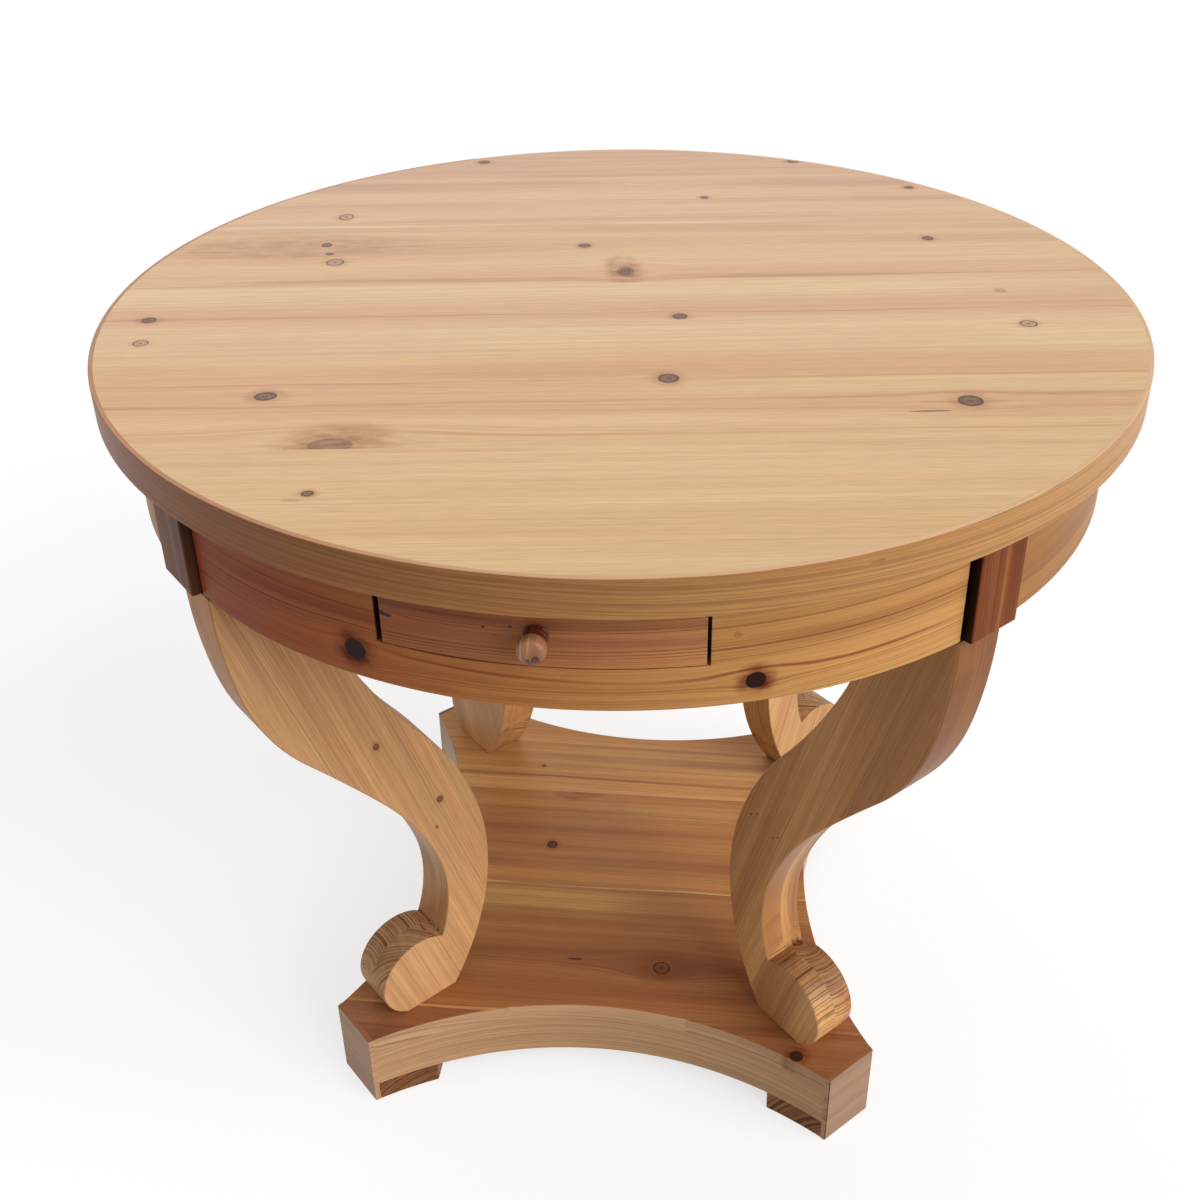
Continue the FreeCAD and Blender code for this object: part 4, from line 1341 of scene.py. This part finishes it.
    def is_rim(self, edge: bmesh.types.BMEdge) -> bool:
        """Say whether an edge of a platform board is on the plinth's upper rim.

        Args:
            edge: the edge.

        Returns:
            True on the rim, but not at a joint, beside a facing or round a screw hole.
        """
        turn = math.radians(self.grain_angle)
        centre = middle(edge)
        across = centre.y * math.cos(turn) - centre.x * math.sin(turn)
        at_joint = any(abs(across - joint) < self.same_joint for joint in self.joints)
        at_facing = any(centre.dot(polar(1.0, angle)) > self.facing_inner for angle in CORNER_ANGLES.values())
        at_hole = centre.xy.length < self.holes_within and edge.calc_length() < self.hole_edge
        return abs(centre.z - self.top) < self.same_height and not (at_joint or at_facing or at_hole)

    def make_skirts(self, joiner: Joiner) -> None:
        """Make the four skirts.

        Args:
            joiner: the joiner that knows the frame.
        """
        for number, (side, (reach, angle, radius)) in enumerate(self.side_centres.items()):
            skirt = joiner.eased(f"plinth_skirt_{side}", self.ease,
                                 lambda edge: middle(edge).z < self.skirt_foot)
            centre = polar(reach * MM, angle + self.base_turn)
            lay = BentLay((centre.x, centre.y), radius * MM, angle + self.base_turn + 180.0)
            wood = Pine((200, 158, 116), (132, 92, 60), (188, 144, 102), 0.8, 0.0024, (0.50, 0.05), 0.012,
                        line_share=0.95, evenness=0.4, crowding=0.45, seed=121.0 + number * 6.0)
            joiner.dress_piece(skirt, wood.material(f"skirt {side}", lay), f"plinth_skirt_{side}")

    def make_corners(self, joiner: Joiner) -> None:
        """Make the facings and the pads.

        Args:
            joiner: the joiner that knows the frame.
        """
        for number, (corner, angle) in enumerate(CORNER_ANGLES.items()):
            side = "left" if corner.endswith("left") else "right"
            outward = polar(1.0, angle)
            facing = joiner.eased(f"plinth_facing_{corner}", self.facing_ease,
                                  lambda edge, way=outward: middle(edge).dot(way) > self.facing_face)
            along = Vector((-outward.y, outward.x, 0.0))
            reach, height = self.facing_middle
            lay = StraightLay(tuple(polar(reach, angle, height)),
                              turn_of(along, outward.cross(along), outward))
            early, flush = self.facing_colours[side]
            wood = Pine(early, (126, 92, 66), flush, 0.8, 0.0026, (0.40, -0.06), 0.008, end_darkness=0.0,
                        line_share=0.9, upper=(150, 98, 62), ends=(192, 150, 110), seed=151.0 + number * 3.0)
            joiner.dress_piece(facing, wood.material(f"facing {corner}", lay), f"plinth_facing_{corner}")
            pad = joiner.eased(f"foot_pad_{corner}", self.facing_ease)
            reach, height = self.pad_middle
            lay = StraightLay(tuple(polar(reach, angle, height)), (0.0, 0.0, math.radians(self.pad_grain)))
            early, late, flush = self.pad_colours[side]
            wood = Pine(early, late, flush, 0.8, 0.0044, (0.06, -0.06), 0.10, end_darkness=0.1,
                        sheen_level=0.10, cut_contrast=0.6, line_share=1.0, evenness=0.6, crowding=0.2,
                        seed=171.0 + number * 3.0)
            joiner.dress_piece(pad, wood.material(f"pad {corner}", lay), f"foot_pad_{corner}")


# ------------------------------------------------------------------------------------ drawer
@dataclass
class BowDrawer(SubAssembly):
    """The drawer: bow front, turned knob and a plain box."""

    radius: float = APRON_RADIUS
    ease: float = 0.9 * MM
    eased_from: float = -0.40  # only the arrises in front of this are eased
    knob_height: float = 0.696
    knob_facets: int = 48
    box_centre: Triple = (0.0, -0.27, 0.70)
    knob_profile: tuple[tuple[float, float], ...] = (
        (8.6, 0.0), (8.6, 1.2), (8.2, 1.7), (8.6, 2.3), (8.6, 5.0), (8.25, 5.5), (8.6, 6.1), (8.5, 8.6),
        (8.1, 9.2), (8.3, 9.9), (9.2, 11.0), (10.0, 12.3), (10.3, 14.0), (10.3, 16.5), (10.1, 18.2),
        (9.6, 19.6), (8.7, 20.8), (7.4, 21.6), (5.4, 22.2), (2.8, 22.6), (0.0, 22.8))

    front_marks: tuple[KnotPlace, ...] = (
        (-105.0, 0.6954, 4.4, 1.9, KnotKind.CHECK), (-104.2, 0.6944, 4.0, 1.5, KnotKind.CHECK),
        (-94.8, 0.6985, 1.5, 0.8, KnotKind.CHECK), (-92.3, 0.7010, 1.5, 0.8, KnotKind.CHECK),
        (-93.5, 0.6930, 3.0, 0.8, KnotKind.FAINT))

    def build(self, joiner: Joiner) -> None:
        """Make the front, the knob and the box.

        Args:
            joiner: the joiner that knows the frame.
        """
        self.make_front(joiner)
        self.dress_knob(joiner)
        self.dress_box(joiner)

    def make_front(self, joiner: Joiner) -> None:
        """Make the bow front.

        Args:
            joiner: the joiner that knows the frame.
        """
        front = joiner.eased("drawer_front", self.ease, lambda edge: middle(edge).y < self.eased_from)
        # the ramp darkens the front towards its left as painted shade; end and edge darkness paint shade in
        # the gaps round the drawer, with some darker end grain
        wood = Pine((196, 134, 82), (108, 58, 36), (170, 108, 66), 0.8, 0.0024, (0.90, -0.05), 0.030,
                    seed=201.0, end_darkness=0.62, edge_darkness=0.9, wander=0.016,
                    painted_shade_ramp=(0, 0.16, -0.12, (206, 176, 176)),
                    streaks=(Streak(0.704, 0.004, (132, 76, 52), 0.6),
                             Streak(0.690, 0.005, (150, 92, 60), 0.6)),
                    knot_colour=(28, 11, 8), knot_rim=(44, 20, 16), knots=on_apron(self.front_marks))
        lay = BentLay((0.0, 0.0), self.radius, -90.0)
        joiner.dress_piece(front, wood.material("drawer front", lay), "drawer_front")

    def dress_knob(self, joiner: Joiner) -> None:
        """Turn the knob and dress it.

        Args:
            joiner: the joiner that knows the frame.
        """
        knob = self.make_knob(joiner)
        # the ramp darkens the neck behind the head: painted shade
        wood = Pine((172, 120, 82), (116, 66, 42), (150, 98, 66), 0.8, 0.0022, (0.20, 0.0), 0.010,
                    end_darkness=0.0, seed=211.0, roughness=0.34, coat=0.3,
                    painted_shade_ramp=(2, 0.0125, 0.0090, (150, 104, 104)),
                    streaks=(Streak(0.0056, 0.0010, (222, 184, 140), 0.7),
                             Streak(0.0002, 0.0008, (218, 178, 134), 0.7)),
                    knot_colour=(84, 32, 22), knot_rim=(78, 32, 22),
                    knots=(Knot(-0.0065, -0.0036, 0.0060, 0.0030), Knot(-0.0080, 0.0014, 0.0050, 0.0018)))
        lay = StraightLay((0.0, -self.radius, self.knob_height), upright_turn(-90.0))
        joiner.dress_piece(knob, wood.material("knob", lay), "drawer_knob")

    def dress_box(self, joiner: Joiner) -> None:
        """Dress the plain box behind the front.

        Args:
            joiner: the joiner that knows the frame.
        """
        wood = Pine((216, 182, 130), (184, 140, 92), (206, 168, 118), 0.8, 0.0030, (0.1, -0.2), 0.012,
                    seed=221.0, roughness=0.6, coat=0.0)
        for node in ("drawer_side_left", "drawer_side_right", "drawer_bottom", "drawer_back"):
            turn = 0.0 if node == "drawer_back" else math.radians(90.0)
            lay = StraightLay(self.box_centre, (0.0, 0.0, turn))
            joiner.dress_node(node, wood.material(node.replace("_", " "), lay))

    def make_knob(self, joiner: Joiner) -> bpy.types.Object:
        """Turn the knob.

        Args:
            joiner: the joiner that makes it an object.

        Returns:
            The knob in place.
        """
        form = bmesh.new()
        points = [form.verts.new((radius * MM, 0.0, along * MM)) for radius, along in self.knob_profile]
        edges = [form.edges.new(pair) for pair in zip(points, points[1:])]
        bmesh.ops.spin(form, geom=[*points, *edges], cent=(0.0, 0.0, 0.0), axis=(0.0, 0.0, 1.0),
                       dvec=(0.0, 0.0, 0.0), angle=math.tau, steps=self.knob_facets, use_merge=True)
        bmesh.ops.remove_doubles(form, verts=form.verts, dist=SAME_POINT)
        rim = [edge for edge in form.edges if edge.is_boundary]
        bmesh.ops.contextual_create(form, geom=rim)
        bmesh.ops.recalc_face_normals(form, faces=form.faces)
        bmesh.ops.rotate(form, verts=form.verts, cent=(0.0, 0.0, 0.0),
                         matrix=Matrix.Rotation(math.radians(90.0), 3, "X"))
        bmesh.ops.translate(form, verts=form.verts, vec=(0.0, -self.radius, self.knob_height))
        return joiner.shaped("Knob", form)


# ------------------------------------------------------------------------------------ framing
@dataclass
class Framing(SubAssembly):
    """Bearers, runners, stops, blocks and screws."""

    mid_apron: float = 0.68
    mid_plinth: float = 0.05

    def build(self, joiner: Joiner) -> None:
        """Dress the hidden woodwork and the screws.

        Args:
            joiner: the joiner that knows the frame.
        """
        wood = Pine((204, 164, 112), (160, 116, 74), (190, 146, 98), 0.8, 0.0030, (0.1, -0.2), 0.012,
                    seed=241.0, roughness=0.62, coat=0.0)
        level = StraightLay((0.0, 0.0, self.mid_apron), (0.0, 0.0, math.radians(90.0)))
        for node in ("bearer_left", "bearer_right", "drawer_runner_left", "drawer_runner_right",
                     "drawer_stops"):
            joiner.dress_node(node, wood.material(node.replace("_", " "), level))
        upright = StraightLay((0.0, 0.0, self.mid_apron), upright_turn(-90.0))
        joiner.dress_node("apron_glue_blocks", wood.material("glue blocks", upright))
        flat = StraightLay((0.0, 0.0, self.mid_plinth), (0.0, 0.0, 0.0))
        for corner in CORNER_ANGLES:
            joiner.dress_node(f"plinth_block_{corner}", wood.material(f"plinth block {corner}", flat))
        steel = Steel().material("screw steel")
        for node in ("bearer_screws", "leg_screws", "knob_screw"):
            joiner.dress_node(node, steel)


# ------------------------------------------------------------------------------------ studio
@dataclass(frozen=True)
class Sun:
    """A broad far lamp, placed by its direction and its height in degrees."""

    name: str
    direction: float
    height: float
    strength: float
    spread: float

    def hang(self) -> None:
        """Hang the lamp."""
        light = bpy.data.lights.new(self.name, "SUN")
        light.energy = self.strength
        light.angle = math.radians(self.spread)
        lamp = bpy.data.objects.new(self.name, light)
        level = math.cos(math.radians(self.height))
        towards = polar(level, self.direction, math.sin(math.radians(self.height)))
        lamp.rotation_euler = towards.to_track_quat("Z", "Y").to_euler()
        bpy.context.scene.collection.objects.link(lamp)


@dataclass
class Studio:
    """Floor, lights and camera."""

    floor_radius: float = 30.0
    floor_bare: Colour = (0.45, 0.445, 0.435, 1.0)
    floor_pale: Colour = (0.36, 0.36, 0.36, 1.0)
    floor_glow: float = 0.69
    suns: tuple[Sun, ...] = (Sun("Key", -24.0, 30.0, 2.82, 60.0), Sun("Fill", 118.0, 34.0, 0.50, 70.0))
    sky: float = 0.38
    eye: Triple = (0.15985, -1.17395, 1.24460)
    yaw: float = 0.1341
    pitch: float = 0.5272
    roll: float = -0.008
    lens: float = 42.98
    sensor: float = 36.0
    shift: tuple[float, float] = (-0.0199, -0.0862)
    farthest: float = 100.0

    def set_up(self) -> None:
        """Lay the floor, light it and place the camera."""
        self.lay_floor()
        self.light()
        self.place_camera()

    def lay_floor(self) -> None:
        """Lay a pale round floor that keeps the table's shadow."""
        form = bmesh.new()
        bmesh.ops.create_circle(form, cap_ends=True, radius=self.floor_radius, segments=64)
        mesh = bpy.data.meshes.new("Floor")
        form.to_mesh(mesh)
        form.free()
        floor = bpy.data.objects.new("Floor", mesh)
        bpy.context.scene.collection.objects.link(floor)
        graph = Graph(bpy.data.materials.new("pale floor"))
        bare = graph.add("ShaderNodeBsdfDiffuse", None, {"Color": self.floor_bare})
        pale = graph.add("ShaderNodeBsdfDiffuse", None, {"Color": self.floor_pale})
        glow = graph.add("ShaderNodeEmission", None, {"Color": WHITE, "Strength": self.floor_glow})
        shown = graph.add("ShaderNodeAddShader", None, {0: pale, 1: glow})
        graph.add_output(graph.add("ShaderNodeMixShader", None, {0: graph.seen(), 1: bare, 2: shown}))
        mesh.materials.append(graph.owner)

    def light(self) -> None:
        """Hang the lamps and add a surround that is dimmer than it looks."""
        for sun in self.suns:
            sun.hang()
        world = bpy.data.worlds.new("Surround")
        bpy.context.scene.world = world
        graph = Graph(world)
        dim = graph.add("ShaderNodeBackground", None, {"Color": WHITE, "Strength": self.sky})
        white = graph.add("ShaderNodeBackground", None, {"Color": WHITE, "Strength": 1.0})
        graph.add_output(graph.add("ShaderNodeMixShader", None, {0: graph.seen(), 1: dim, 2: white}))

    def place_camera(self) -> None:
        """Place the camera and turn it by its yaw, pitch and roll in radians."""
        data = bpy.data.cameras.new("Camera")
        data.lens = self.lens
        data.sensor_width = self.sensor
        data.shift_x, data.shift_y = self.shift
        data.clip_end = self.farthest
        level = Vector((-math.sin(self.yaw), math.cos(self.yaw), 0.0))
        forward = level * math.cos(self.pitch) - Vector((0.0, 0.0, math.sin(self.pitch)))
        right = Vector((math.cos(self.yaw), math.sin(self.yaw), 0.0))
        up = right.cross(forward)
        rolled_right = right * math.cos(self.roll) + up * math.sin(self.roll)
        rolled_up = up * math.cos(self.roll) - right * math.sin(self.roll)
        camera = bpy.data.objects.new("Camera", data)
        turn = Matrix((rolled_right, rolled_up, -forward)).transposed()
        camera.matrix_world = Matrix.Translation(self.eye) @ turn.to_4x4()
        bpy.context.scene.collection.objects.link(camera)
        bpy.context.scene.camera = camera


def main() -> None:
    """Build the table and its studio."""
    logging.basicConfig(level=logging.INFO, format="%(name)s: %(message)s")
    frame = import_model()
    bpy.context.scene.view_settings.view_transform = "Standard"
    joiner = Joiner(frame)
    for group in (RoundTop(), ApronRing(), ScrollLegs(), HollowPlinth(), BowDrawer(), Framing()):
        group.build(joiner)
        LOG.info("%s is built", type(group).__name__)
    Studio().set_up()
    bpy.context.view_layer.update()


if __name__ == "__main__":
    main()
